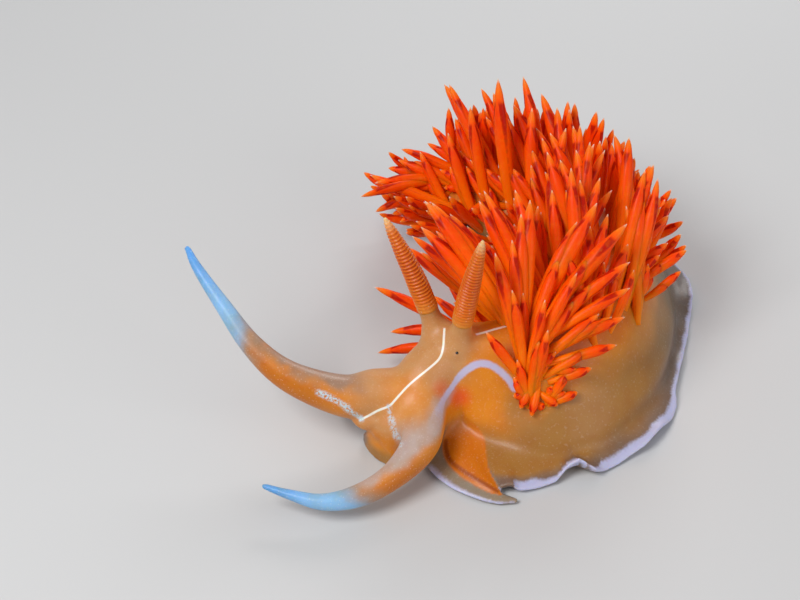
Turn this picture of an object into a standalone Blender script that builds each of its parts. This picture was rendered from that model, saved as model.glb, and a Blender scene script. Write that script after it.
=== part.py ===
"""A still, life-size model of an orange sea slug, crawling in a curve, with many fleshy fingers on its back.

It is modelled in metres, +Z up. The sole of its foot lies on z = 0 and the origin is under the middle of its
bounding box. The head is at the -Y end and turned towards -X, and the body bends round towards +Y and back to
the tail. Sizes below are in millimetres. The fingers on the back are called cerata, and one of them a ceras.
"""

import math
import random

import bmesh
import bpy
import numpy as np

MM = 0.001
GAP = 0.3  # between nodes that meet face to face
CENTRE = (-4.1, 8.5)  # the place on the floor, in the routes' own numbers, that becomes the origin

# The midline of the body, from the front of the foot to the tip of the tail: the place on the floor, x and y,
# then the height of the back, half the width of the trunk, and the reach of the foot to left and to right.
BODY_ROUTE = (
    (-9.3, -6.1, 4.8, 2.4, 2.6, 2.6),
    (-7.1, -4.0, 7.6, 3.0, 3.3, 3.3),
    (-4.5, -1.8, 8.9, 3.2, 4.2, 4.0),
    (-0.8, -1.3, 9.0, 3.4, 7.2, 4.6),
    (3.2, -0.7, 9.0, 4.3, 9.4, 5.2),
    (6.6, 1.8, 9.0, 4.6, 8.6, 5.2),
    (8.6, 5.6, 9.0, 4.6, 7.8, 5.0),
    (8.9, 10.0, 8.8, 4.5, 8.4, 4.4),
    (7.6, 14.4, 8.6, 4.4, 9.4, 4.0),
    (4.6, 17.9, 8.2, 4.2, 9.0, 3.8),
    (0.1, 20.5, 7.6, 3.9, 7.2, 3.6),
    (-4.0, 23.2, 6.2, 3.2, 5.2, 3.4),
    (-6.6, 27.2, 3.8, 2.2, 3.4, 2.8),
    (-7.2, 32.2, 1.3, 0.9, 0.9, 0.9),
)
RING_PITCH = 1.6  # between the rings of the trunk and of the foot

# Where the body is parted, as distances along its midline.
HEAD_END = 9.3
FRONT_END = 21.1
MIDDLE_END = 30.7
REAR_END = 50.4
FOOT_FRONT_END = 19.0
FOOT_MIDDLE_END = 35.0
NOSE_REACH = 1.3  # how far the rounded front of the head stands ahead of the midline's start
NOSE_TURNS = (28, 56, 78)  # degrees round that front

# One side of the trunk's section, from the foot up to the ridge. Each row is a share of the trunk's half
# width, a share of the foot's reach, and a share of the height.
TRUNK_SIDE = (
    (0.00, 0.78, 0.00),
    (0.45, 0.49, 0.16),
    (0.86, 0.11, 0.42),
    (0.78, 0.00, 0.74),
    (0.44, 0.00, 0.94),
    (0.00, 0.00, 1.00),
)
TRUNK_STEPS = 2  # points between two rows of that section

FOOT_TOP = 1.2  # the level where the plate of the foot ends and the trunk begins
FOOT_RIM = 0.55  # thickness of the plate at its edge
FOOT_SHELF = 0.80  # share of the reach that lies flat under the trunk
# The frills of the foot's left edge: where along the midline, half the length, and the lift.
FRILLS = (
    (12.9, 1.3, 0.9),
    (17.7, 1.7, 1.2),
    (22.8, 2.0, 0.5),
    (28.6, 2.2, 0.6),
    (35.0, 2.4, 0.7),
    (41.0, 2.2, 0.6),
)

FRILL_SOFT = 0.30  # share of the lift that reaches half way in from the edge

# Tapered arms, from inside what they grow from out to the tip: x, y, z, half the width, half the height.
TENTACLE_RIGHT = (
    (-7.6, -4.4, 4.6, 2.1, 2.2),
    (-10.0, -4.3, 4.7, 2.2, 2.2),
    (-12.9, -4.8, 4.8, 1.9, 1.9),
    (-17.1, -4.3, 6.4, 1.6, 1.5),
    (-20.0, -2.8, 8.3, 1.2, 1.15),
    (-22.4, -0.5, 10.6, 0.8, 0.8),
    (-24.4, 1.8, 12.5, 0.52, 0.5),
    (-25.3, 3.3, 13.4, 0.28, 0.27),
)
TENTACLE_LEFT = (
    (-6.3, -5.0, 4.5, 1.9, 2.1),
    (-5.9, -7.3, 4.0, 1.9, 1.9),
    (-7.0, -9.4, 3.3, 1.75, 1.7),
    (-9.0, -11.6, 2.6, 1.45, 1.4),
    (-11.4, -13.2, 2.1, 1.15, 1.1),
    (-14.1, -13.8, 1.9, 0.8, 0.8),
    (-16.7, -13.4, 2.1, 0.48, 0.48),
    (-18.5, -12.9, 2.5, 0.27, 0.27),
)
FOOT_CORNER_LEFT = (
    (-5.0, -4.0, 0.75, 1.9, 0.45),
    (-4.3, -6.9, 0.75, 2.1, 0.75),
    (-3.6, -8.8, 0.75, 2.0, 0.75),
    (-2.4, -10.5, 0.65, 1.5, 0.65),
    (-0.9, -11.5, 0.5, 0.9, 0.5),
    (0.7, -11.8, 0.4, 0.3, 0.4),
)
FOOT_CORNER_RIGHT = (
    (-7.2, -3.8, 0.75, 1.8, 0.45),
    (-9.3, -2.6, 0.75, 1.8, 0.75),
    (-11.0, -1.2, 0.75, 1.6, 0.7),
    (-12.2, 0.6, 0.65, 1.1, 0.6),
    (-12.6, 2.2, 0.5, 0.7, 0.5),
    (-12.4, 3.8, 0.4, 0.3, 0.4),
)
# Distances along each arm where its root ends and where it is parted again.
TENTACLE_PARTS = {"right": (4.6, 11.5, 18.5), "left": (4.4, 10.6, 16.4)}
CORNER_ROOT = 3.9
ARM_PITCH = 1.3
TENTACLE_SIDES = 12
CORNER_SIDES = 10

# The rhinophores, the ringed feelers on the head: foot and tip of the axis of each.
RHINOPHORES = {
    "left": ((-3.74, -2.1, 8.2), (-3.0, -2.7, 13.8), (-2.1, -3.3, 19.4)),
    "right": ((-5.7, -0.5, 8.0), (-7.3, -0.1, 13.4), (-9.5, 0.6, 18.6)),
}
RHINOPHORE_COLLAR = 1.3  # length of the collar on the head
COLLAR_FLARE = 1.3  # how much wider the collar is at its foot
RHINOPHORE_RADII = ((0.0, 1.12), (0.35, 0.98), (0.7, 0.72), (0.93, 0.45), (1.0, 0.26))
RHINOPHORE_RINGS = 12
RING_GROOVE = 0.80  # radius in a groove as a share of the radius on a ring
RHINOPHORE_SIDES = 8

LIP_CENTRE = (-9.7, -6.4, 2.9)  # between the two lips, on the front of the head
LIP_SPREAD = 0.62  # from there to the middle of each lip
LIP_SIZES = (0.55, 0.8, 0.95)  # half sizes across, forwards and upwards
LIP_HEADING = 43.0  # degrees that the face is turned from -Y towards -X

EYE_RADIUS = 0.3
EYE_STATION = 6.4
EYE_SHARE = 0.80  # of the way up the side of the trunk's section
EYE_OUT = 0.12  # how far its centre stands outside the head's side

# Groups of cerata on each side: the distance along the midline, half the length of the group, how many stand in
# its outer, middle and inner arch, the longest, how far they lean towards the tail, and the share of the
# section's side where the outer arch starts.
GROUPS_LEFT = (
    (13.6, 1.6, (7, 6, 4), 9.8, -0.26, 0.36),
    (18.3, 1.8, (6, 5, 4), 9.4, -0.10, 0.52),
    (23.6, 1.6, (6, 5, 3), 8.8, 0.00, 0.56),
    (28.2, 1.5, (6, 4, 3), 8.4, 0.10, 0.50),
    (33.0, 1.4, (5, 4, 3), 8.6, 0.18, 0.44),
    (37.4, 1.3, (5, 3), 9.0, 0.22, 0.40),
    (41.6, 1.2, (4, 2), 8.0, 0.20, 0.36),
    (45.4, 1.0, (4, 2), 6.4, 0.20, 0.36),
    (48.4, 0.7, (3,), 5.0, 0.30, 0.36),
)
GROUPS_RIGHT = (
    (14.0, 1.6, (7, 5, 3), 12.0, -2.20, 0.32),
    (18.0, 1.8, (6, 5, 3), 11.4, -1.20, 0.34),
    (23.2, 1.5, (5, 4, 3), 9.6, -0.20, 0.36),
    (28.2, 1.5, (5, 4, 3), 9.6, 0.20, 0.36),
    (33.2, 1.5, (6, 4, 3), 10.4, 0.60, 0.34),
    (37.4, 1.4, (5, 4), 10.6, 0.75, 0.34),
    (41.6, 1.3, (5, 3), 10.4, 0.75, 0.34),
    (45.4, 1.1, (4, 3), 9.0, 0.60, 0.34),
    (48.4, 0.7, (3,), 6.0, 0.50, 0.34),
)
CERAS_RADIUS = 0.92  # of one with the next length
LONGEST = 10.8
CERAS_SIDES = 5
CERAS_SHAPE = ((0.0, 0.68), (0.32, 0.92), (0.60, 1.0), (0.82, 0.74), (1.0, 0.08))  # way out, share of radius
CERAS_ROOT = 1.3  # how deep a root is sunk
CERAS_HIGH = 0.93  # share of the section's side where the outer arch passes over the back
ARCH_STEP = 0.10  # how much lower each inner arch stays
SPLAY = {1: (13, 56), -1: (30, 84)}  # degrees from upright, on top of an arch and at its ends, left and right
LEAN_LOW = 1.25  # the low ones of a group lean along the body by about this share of its number, the top ones less
FAN = 0.22  # how much more the foremost and hindmost of a group lean away from its middle
ARCH_SHRINK = 0.36  # how much shorter along the body each inner arch is, as a share of the outer one
LEAST_LENGTH = 0.50  # of one at the end of an arch, as a share of its group's longest
LEAST_WIDTH = 0.55  # of the shortest, as a share of the radius
LENGTH_RANGE = (0.88, 1.10)
WAY_JITTER = 0.12
TURN_JITTER = 0.18
STATION_JITTER = 0.15
SHARE_JITTER = 0.03
SPLAY_JITTER = 5.0
CURL = 0.6  # how far a ceras has turned at its tip from the way it starts to the way it ends
CURL_UP = 0.35  # how much that end way turns upwards
CURL_LEAN = 0.4  # and how much further it leans along the body
HEAD_CLEAR = 3.9  # how far to the right of the midline the foremost on the right keep beside the head
HEAD_MARGIN = 0.9  # how much nearer their roots may stand
HEAD_SLANT = 0.25  # and how much nearer to it they may come for each step towards -X
SWING_POWER = 1.3  # how late along a ceras a swing shows
SWING_LEAST = 0.15  # least part of a swing that a point near the root is taken to make
SWINGS = 12
ALL_RINGS = len(CERAS_SHAPE)
SEED = 14

WELD = 2e-7  # metres; points closer than this become one

COLOURS = {
    "skin": (0.80, 0.47, 0.17),
    "flank": (0.70, 0.47, 0.27),
    "cerata": (0.85, 0.20, 0.03),
    "tip": (0.55, 0.68, 0.90),
    "corner": (0.88, 0.40, 0.06),
    "feeler": (0.72, 0.36, 0.14),
    "eye": (0.01, 0.01, 0.01),
}


def catmull(points, steps):
    """A smooth curve through the points, as a dense array of rows."""
    rows = np.array(points, float)
    rows = np.vstack([2 * rows[0] - rows[1], rows, 2 * rows[-1] - rows[-2]])
    u = np.arange(steps)[:, None] / steps
    pieces = []
    for i in range(1, len(rows) - 2):
        a, b, c, d = rows[i - 1 : i + 3]
        bend = 2 * a - 5 * b + 4 * c - d
        twist = 3 * b - a - 3 * c + d
        pieces.append(0.5 * (2 * b + (c - a) * u + bend * u**2 + twist * u**3))
    return np.vstack([*pieces, rows[-2:-1]])


class Route:
    """A smooth curve, read by the distance along its first `axes` columns."""

    def __init__(self, points, axes, steps=24):
        self.rows = catmull(points, steps)
        gaps = np.linalg.norm(np.diff(self.rows[:, :axes], axis=0), axis=1)
        self.stations = np.concatenate([[0.0], np.cumsum(gaps)])
        self.length = self.stations[-1]
        self.axes = axes

    def at(self, station):
        return np.array([np.interp(station, self.stations, column) for column in self.rows.T])

    def along(self, station):
        """The unit vector along the curve, away from its start."""
        step = 0.05
        ahead = self.at(min(station + step, self.length))[: self.axes]
        behind = self.at(max(station - step, 0.0))[: self.axes]
        return unit(ahead - behind)


def unit(vector):
    return vector / np.linalg.norm(vector)


BODY = Route(BODY_ROUTE, 2)


def steps_between(start, end, pitch):
    """Even distances from start to end, about one pitch apart."""
    count = max(2, math.ceil((end - start) / pitch) + 1)
    return np.linspace(start, end, count)


def body_ways(station):
    """Unit vectors towards the tail and towards the animal's left at a station, level with the floor."""
    tail_ward = BODY.along(station)
    return np.array([*tail_ward, 0.0]), np.array([tail_ward[1], -tail_ward[0], 0.0])


def trunk_side(station, side, floor):
    """One side of the trunk's section, foot to ridge, as rows of distance from the midline and height."""
    _, _, height, half, reach_left, reach_right = BODY.at(station)
    reach = reach_left if side > 0 else reach_right
    rows = [(a * half + b * reach, floor + c * (height - floor)) for a, b, c in TRUNK_SIDE]
    return catmull(rows, TRUNK_STEPS)


def place_ring(station, offsets, heights, shift):
    """Points of a section that stands square across the midline, moved along it by shift."""
    tail_ward, left = body_ways(station)
    middle = np.array([*BODY.at(station)[:2], 0.0]) + tail_ward * shift
    return [middle + left * offset + np.array([0, 0, z]) for offset, z in zip(offsets, heights)]


def trunk_ring(station, shift=0.0, floor=FOOT_TOP + GAP, shrink=1.0):
    """The closed section of the trunk, up its left side and down its right one."""
    left = trunk_side(station, 1, floor)
    right = trunk_side(station, -1, floor)[::-1]
    offsets = [*left[:, 0], *(-right[1:, 0])]
    heights = [*left[:, 1], *right[1:, 1]]
    middle = (max(heights) + floor) / 2
    offsets = [value * shrink for value in offsets]
    heights = [middle + (z - middle) * shrink for z in heights]
    return place_ring(station, offsets, heights, shift)


def trunk_rings(start, end, floor=FOOT_TOP + GAP):
    """Sections from one parting to the next, with half a gap left free at each end."""
    stations = steps_between(start, end, RING_PITCH)
    shifts = [GAP / 2, *[0.0] * (len(stations) - 2), -GAP / 2]
    return [trunk_ring(s, shift, floor) for s, shift in zip(stations, shifts)]


def frill(station, side):
    """The lift of the foot's edge: frills on the left side, and half of them on the hidden right side."""
    lift = 0.0
    for middle, half, height in FRILLS:
        away = abs(station - middle) / half
        if away < 1:
            lift += height * (0.5 + 0.5 * math.cos(math.pi * away))
    return lift if side > 0 else lift / 2


def foot_ring(station, shift=0.0, shrink=1.0):
    """The closed section of the foot's plate: along the sole to the left, and back over the top."""
    _, _, _, _, reach_left, reach_right = BODY.at(station)
    lift_left = frill(station, 1) * shrink
    lift_right = frill(station, -1) * shrink
    shelf = FOOT_SHELF
    rim = 0.5 * (shelf + 1)
    side_left = ((0, 0), (shelf, 0), (rim, FRILL_SOFT * lift_left), (1, lift_left))
    side_right = ((shelf, 0), (rim, FRILL_SOFT * lift_right), (1, lift_right))
    sole = [(reach_left * a, z) for a, z in side_left]
    top = [
        (reach_left, lift_left + FOOT_RIM),
        (reach_left * rim, FRILL_SOFT * lift_left + 0.5 * (FOOT_RIM + FOOT_TOP)),
        (reach_left * shelf, FOOT_TOP),
        (0, FOOT_TOP),
        (-reach_right * shelf, FOOT_TOP),
        (-reach_right * rim, FRILL_SOFT * lift_right + 0.5 * (FOOT_RIM + FOOT_TOP)),
        (-reach_right, lift_right + FOOT_RIM),
    ]
    under = [(-reach_right * a, z) for a, z in side_right[::-1]]
    rows = [*sole, *top, *under]
    return place_ring(station, [x * shrink for x, _ in rows], [z for _, z in rows], shift)


def foot_rings(start, end):
    stations = steps_between(start, end, RING_PITCH)
    shifts = [GAP / 2, *[0.0] * (len(stations) - 2), -GAP / 2]
    return [foot_ring(s, shift) for s, shift in zip(stations, shifts)]


def arm_rings(route, start, end, sides):
    """Oval sections across an arm, square to its course."""
    rings = []
    for station in steps_between(start, end, ARM_PITCH):
        row = route.at(station)
        course = route.along(station)
        across = unit(np.cross(course, (0, 0, 1)))
        upwards = np.cross(across, course)
        angles = np.arange(sides) * 2 * math.pi / sides
        rings.append([row[:3] + across * row[3] * math.cos(a) + upwards * row[4] * math.sin(a) for a in angles])
    return rings


def new_object(name, vertices, faces):
    """An object from points in millimetres, with its faces turned outwards."""
    moved = np.array(vertices, float) - np.array([*CENTRE, 0.0])
    mesh = bpy.data.meshes.new(name)
    mesh.from_pydata([tuple(point * MM) for point in moved], [], faces)
    clean = bmesh.new()
    clean.from_mesh(mesh)
    bmesh.ops.recalc_face_normals(clean, faces=clean.faces)
    clean.to_mesh(mesh)
    clean.free()
    obj = bpy.data.objects.new(name, mesh)
    MODEL.objects.link(obj)
    return obj


def loft(name, rings, tip=None):
    """A closed solid through the rings, with flat ends, or with a point for its far end."""
    sides = len(rings[0])
    vertices = [point for ring in rings for point in ring]
    faces = [tuple(range(sides))]
    for i in range(len(rings) - 1):
        for j in range(sides):
            k = (j + 1) % sides
            faces.append((i * sides + j, i * sides + k, (i + 1) * sides + k, (i + 1) * sides + j))
    last = (len(rings) - 1) * sides
    if tip is None:
        faces.append(tuple(last + j for j in range(sides)))
    else:
        vertices.append(tip)
        faces += [(last + j, last + (j + 1) % sides, len(vertices) - 1) for j in range(sides)]
    return new_object(name, vertices, faces)


def fuse(base, pieces, solver="EXACT", operation="UNION"):
    """Joins the pieces to the base, or cuts them from it, in one Boolean, and removes them."""
    group = bpy.data.collections.new(base.name + "_pieces")
    bpy.context.scene.collection.children.link(group)
    for piece in pieces:
        MODEL.objects.unlink(piece)
        group.objects.link(piece)
    modifier = base.modifiers.new("Fuse", "BOOLEAN")
    modifier.operand_type = "COLLECTION"
    modifier.collection = group
    modifier.operation = operation
    modifier.solver = solver
    scene_graph = bpy.context.evaluated_depsgraph_get()
    fused = bpy.data.meshes.new_from_object(base.evaluated_get(scene_graph))
    base.modifiers.remove(modifier)
    base.data = fused
    for piece in pieces:
        bpy.data.objects.remove(piece)
    bpy.data.collections.remove(group)
    keep_largest(base)


def keep_largest(obj):
    """Leaves only the largest closed surface of an object."""
    work = bmesh.new()
    work.from_mesh(obj.data)
    bmesh.ops.remove_doubles(work, verts=work.verts, dist=WELD)
    bmesh.ops.dissolve_degenerate(work, edges=work.edges, dist=WELD)
    bmesh.ops.triangulate(work, faces=work.faces)
    unseen = set(work.verts)
    shells = []
    while unseen:
        shell = {unseen.pop()}
        front = list(shell)
        while front:
            for edge in front.pop().link_edges:
                for vertex in edge.verts:
                    if vertex in unseen:
                        unseen.remove(vertex)
                        shell.add(vertex)
                        front.append(vertex)
        shells.append(shell)
    shells.sort(key=len)
    for shell in shells[:-1]:
        bmesh.ops.delete(work, geom=list(shell), context="VERTS")
    work.to_mesh(obj.data)
    work.free()


def finish(obj, colour, roughness=0.4):
    """Gives an object its own material and smooth shading."""
    material = bpy.data.materials.new(obj.name)
    material.use_nodes = True
    shader = material.node_tree.nodes["Principled BSDF"]
    shader.inputs["Base Color"].default_value = (*COLOURS[colour], 1.0)
    shader.inputs["Roughness"].default_value = roughness
    shader.inputs["Metallic"].default_value = 0.0
    obj.data.materials.clear()
    obj.data.materials.append(material)
    obj.data.shade_smooth()
    obj.data.set_sharp_from_angle(angle=math.radians(50))


def surface_point(station, side, share):
    """A point on the trunk's side, and the ways across and up that leave the surface there."""
    rows = trunk_side(station, side, FOOT_TOP + GAP)
    index = share * (len(rows) - 1)
    offset = np.interp(index, range(len(rows)), rows[:, 0])
    height = np.interp(index, range(len(rows)), rows[:, 1])
    tail_ward, left = body_ways(station)
    point = np.array([*BODY.at(station)[:2], 0.0]) + left * side * offset + np.array([0, 0, height])
    return point, tail_ward, left * side


def wall_at(station):
    """A point and a unit vector for the upright plane that parts the body at a station."""
    return np.array([*BODY.at(station)[:2], 0.0]), body_ways(station)[0]


def bend_clear(points, radii, shares, walls):
    """Swings a ceras about its root, at its own length, until it is clear of the planes it may not pass.

    Each wall is a point, a unit vector, and the number of rings, from the root on, that keep to that side."""
    points = points.copy()
    swing = np.maximum(shares, 0.0) ** SWING_POWER
    lengths = np.linalg.norm(np.diff(points, axis=0), axis=1)
    for _ in range(SWINGS):
        for place, way, last in walls:
            depth = radii + GAP / 2 - (points - place) @ way
            needs = depth / np.maximum(swing, SWING_LEAST)
            points += np.outer(swing * max(0.0, *needs[1:last]), way)
            points[:, 2] = np.maximum(points[:, 2], FOOT_TOP + GAP + radii)
            for i, length in enumerate(lengths):
                points[i + 1] = points[i] + unit(points[i + 1] - points[i]) * length
    return points


def ceras_axis(draw, station, side, share, length, lean, splay):
    """Points along the middle of one ceras, from its sunk root to its tip, and their shares of the way."""
    root, tail_ward, outward = surface_point(station, side, share)
    upwards = np.array([0.0, 0.0, 1.0])
    jitter = np.array([draw.uniform(-1, 1) for _ in range(3)]) * WAY_JITTER
    start = unit(outward * math.sin(splay) + upwards * math.cos(splay) + tail_ward * lean + jitter)
    end = unit(start + upwards * CURL_UP + tail_ward * lean * CURL_LEAN)
    shares = np.array([-CERAS_ROOT / length, *[u for u, _ in CERAS_SHAPE[1:]]])
    bent = [root + start * length * u + (end - start) * length * u**2 * CURL for u in shares]
    bent[0] = root - unit(outward + upwards) * CERAS_ROOT
    return np.array(bent), shares


def arch_places(draw, group, side):
    """The cerata of one group: station and share of the section's side at the root, share of the longest, and
    how far it leans towards the tail and outwards."""
    middle, half, counts, _, lean, low = group
    upright, flat = SPLAY[side]
    places = []
    for arch, count in enumerate(counts):
        reach = half * (1 - ARCH_SHRINK * arch)
        high = CERAS_HIGH - ARCH_STEP * arch
        for i in range(count):
            turn = (i + 0.5) / count + draw.uniform(-TURN_JITTER, TURN_JITTER) / count
            along = -math.cos(math.pi * turn)
            rise = math.sin(math.pi * turn)
            station = middle + reach * along + draw.uniform(-STATION_JITTER, STATION_JITTER)
            share = low + (high - low) * rise + draw.uniform(-SHARE_JITTER, SHARE_JITTER)
            splay = upright + (flat - upright) * (1 - rise) ** 2 + draw.uniform(-SPLAY_JITTER, SPLAY_JITTER)
            tail_lean = lean * (LEAN_LOW - rise) + FAN * along
            part = LEAST_LENGTH + (1 - LEAST_LENGTH) * rise
            places.append((station, share, part, tail_lean, math.radians(splay)))
    return places


def front_walls(root):
    """What the foremost cerata keep behind: the head's end, or beside the head the line of its right side."""
    place, way = wall_at(HEAD_END)
    beside = place - body_ways(HEAD_END)[1] * HEAD_CLEAR
    beside_way = unit(np.array([-HEAD_SLANT, 1.0, 0.0]))
    if (root - beside) @ beside_way > -HEAD_MARGIN:
        return [(beside, beside_way, ALL_RINGS), (place, way, 2)]
    return [(place, way, ALL_RINGS)]


def cerata(start, end):
    """All cerata of the groups whose middle lies between two stations."""
    pieces = []
    place, way = wall_at(end)
    for side, groups in ((1, GROUPS_LEFT), (-1, GROUPS_RIGHT)):
        for number, group in enumerate(groups):
            if not start < group[0] < end:
                continue
            draw = random.Random(100 * SEED + 10 * number + side)
            for station, share, part, lean, splay in arch_places(draw, group, side):
                root = surface_point(station, side, share)[0]
                before = [(*wall_at(start), ALL_RINGS)] if start > HEAD_END else front_walls(root)
                length = group[3] * part * draw.uniform(*LENGTH_RANGE)
                axis, shares = ceras_axis(draw, station, side, share, length, lean, splay)
                width = CERAS_RADIUS * (LEAST_WIDTH + (1 - LEAST_WIDTH) * length / LONGEST)
                radii = np.array([width * r for _, r in CERAS_SHAPE])
                axis = bend_clear(axis, radii, shares, [*before, (place, -way, ALL_RINGS)])
                pieces.append(ceras("ceras", axis, radii))
    return pieces


def ceras(name, axis, radii):
    """One tapered ceras along its axis, closed by a flat root and a point."""
    rings = []
    for i in range(len(axis) - 1):
        course = unit(axis[i + 1] - axis[max(i - 1, 0)])
        across = unit(np.cross(course, (0.3, 1.0, 0.1)))
        around = np.cross(across, course)
        angles = np.arange(CERAS_SIDES) * 2 * math.pi / CERAS_SIDES
        rings.append([axis[i] + radii[i] * (across * math.cos(a) + around * math.sin(a)) for a in angles])
    return loft(name, rings, axis[-1])


def ball(name, centre, sizes, turn=0.0, rings=5):
    """An oval ball with its own half sizes, turned about the upright axis."""
    bpy.ops.mesh.primitive_uv_sphere_add(segments=2 * rings, ring_count=rings, radius=1.0)
    obj = bpy.context.object
    turned = (math.cos(turn), math.sin(turn))
    points = []
    for vertex in obj.data.vertices:
        x, y, z = (value * size for value, size in zip(vertex.co, sizes))
        points.append(np.array(centre) + (x * turned[0] - y * turned[1], x * turned[1] + y * turned[0], z))
    faces = [tuple(face.vertices) for face in obj.data.polygons]
    bpy.data.objects.remove(obj)
    return new_object(name, points, faces)


ARMS = {
    "tentacle_right": Route(TENTACLE_RIGHT, 3),
    "tentacle_left": Route(TENTACLE_LEFT, 3),
    "foot_corner_left": Route(FOOT_CORNER_LEFT, 3),
    "foot_corner_right": Route(FOOT_CORNER_RIGHT, 3),
}


def rhinophore_rings(side):
    """The ringed part of a rhinophore: a ring, then a groove, again and again up to the tip."""
    route = Route(RHINOPHORES[side], 3)
    start = RHINOPHORE_COLLAR + GAP
    shares = np.linspace(0, 1, 2 * RHINOPHORE_RINGS + 1)
    rings = []
    for i, share in enumerate(shares):
        radius = np.interp(share, *zip(*RHINOPHORE_RADII))
        if i % 2:
            radius *= RING_GROOVE
        rings.append(round_section(route, start + share * (route.length - start), radius))
    return rings


def round_section(route, station, radius):
    place = route.at(station)[:3]
    course = route.along(station)
    across = unit(np.cross(course, (0, 1, 0.2)))
    around = np.cross(across, course)
    angles = np.arange(RHINOPHORE_SIDES) * 2 * math.pi / RHINOPHORE_SIDES
    return [place + radius * (across * math.cos(a) + around * math.sin(a)) for a in angles]


def eye_centre(side):
    point, _, outward = surface_point(EYE_STATION, side, EYE_SHARE)
    return point + outward * EYE_OUT + np.array([0, 0, EYE_OUT])


def make_head():
    """The head with its rounded front, the roots of the tentacles, the collars, the lips and the eye pits."""
    nose = []
    for turn in reversed(NOSE_TURNS):
        angle = math.radians(turn)
        nose.append(trunk_ring(0.0, -NOSE_REACH * math.sin(angle), shrink=math.cos(angle)))
    stations = steps_between(0.0, HEAD_END, RING_PITCH)
    rings = [trunk_ring(s) for s in stations[:-1]] + [trunk_ring(HEAD_END, -GAP / 2)]
    head = loft("head", nose + rings)
    pieces = []
    for side in ("right", "left"):
        route = ARMS["tentacle_" + side]
        pieces.append(loft("root", arm_rings(route, 0.0, TENTACLE_PARTS[side][0], TENTACLE_SIDES)))
        stalk = Route(RHINOPHORES[side], 3)
        radius = RHINOPHORE_RADII[0][1]
        collar = [round_section(stalk, 0.0, radius * COLLAR_FLARE), round_section(stalk, RHINOPHORE_COLLAR, radius)]
        pieces.append(loft("collar", collar))
    heading = math.radians(-LIP_HEADING)
    across = np.array([math.cos(heading), math.sin(heading), 0.0])
    for way in (1, -1):
        centre = np.array(LIP_CENTRE) + across * way * LIP_SPREAD
        pieces.append(ball("lip", centre, LIP_SIZES, heading))
    fuse(head, pieces)
    pits = [ball("pit", eye_centre(side), [EYE_RADIUS + GAP] * 3) for side in (1, -1)]
    fuse(head, pits, operation="DIFFERENCE")
    finish(head, "skin")


def make_torso():
    """The three lengths of the back with their cerata."""
    lengths = (
        ("torso_front", HEAD_END, FRONT_END),
        ("torso_middle", FRONT_END, MIDDLE_END),
        ("torso_rear", MIDDLE_END, REAR_END),
    )
    for name, start, end in lengths:
        trunk = loft(name, trunk_rings(start, end))
        fuse(trunk, cerata(start, end), solver="MANIFOLD")
        finish(trunk, "cerata")


def make_tail():
    """The tail, which lies on the floor and ends in a blunt tip."""
    rings = trunk_rings(REAR_END, BODY.length, floor=0.0)
    finish(loft("tail", rings), "flank")


def make_foot():
    """The plate under the body in three lengths, with its drawn out front corners."""
    nose = []
    for turn in reversed(NOSE_TURNS):
        angle = math.radians(turn)
        nose.append(foot_ring(0.0, -NOSE_REACH * math.sin(angle), shrink=math.cos(angle)))
    stations = steps_between(0.0, FOOT_FRONT_END, RING_PITCH)
    rings = [foot_ring(s) for s in stations[:-1]] + [foot_ring(FOOT_FRONT_END, -GAP / 2)]
    front = loft("foot_front", nose + rings)
    roots = []
    for side in ("left", "right"):
        route = ARMS["foot_corner_" + side]
        roots.append(loft("root", arm_rings(route, 0.0, CORNER_ROOT, CORNER_SIDES)))
        corner = arm_rings(route, CORNER_ROOT + GAP, route.length, CORNER_SIDES)
        finish(loft("foot_corner_" + side, corner), "corner")
    fuse(front, roots)
    finish(front, "flank")
    finish(loft("foot_middle", foot_rings(FOOT_FRONT_END, FOOT_MIDDLE_END)), "flank")
    finish(loft("foot_rear", foot_rings(FOOT_MIDDLE_END, REAR_END)), "flank")


def make_tentacles():
    """Each oral tentacle in three lengths past its root on the head."""
    for side, parts in TENTACLE_PARTS.items():
        route = ARMS["tentacle_" + side]
        for label, start, end in zip(("base", "middle", "tip"), parts, (*parts[1:], route.length)):
            rings = arm_rings(route, start + GAP, end, TENTACLE_SIDES)
            name = "tentacle_" + side + "_" + label
            finish(loft(name, rings), "tip" if label == "tip" else "skin")


def make_rhinophores():
    for side in RHINOPHORES:
        finish(loft("rhinophore_" + side, rhinophore_rings(side)), "feeler")


def make_eyes():
    for name, side in (("eye_left", 1), ("eye_right", -1)):
        finish(ball(name, eye_centre(side), [EYE_RADIUS] * 3), "eye", roughness=0.1)


def clear_scene():
    for obj in list(bpy.data.objects):
        bpy.data.objects.remove(obj)


clear_scene()
MODEL = bpy.data.collections.new("dondice_banyulensis")
bpy.context.scene.collection.children.link(MODEL)
make_head()
make_torso()
make_tail()
make_foot()
make_tentacles()
make_rhinophores()
make_eyes()
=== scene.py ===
"""Looks of the orange sea slug: one skin for its flesh, finer cerata and feelers, eyes, floor, light and camera.

Lengths are in millimetres and places in the part's own numbers, before CENTRE is taken off. They turn into metres
in the row frame where a mesh is made. The midline of the body and the arms repeat the part's routes.
"""

import math
import random

import bmesh
import bpy
import numpy as np
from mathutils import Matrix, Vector, noise
from mathutils.bvhtree import BVHTree


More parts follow.
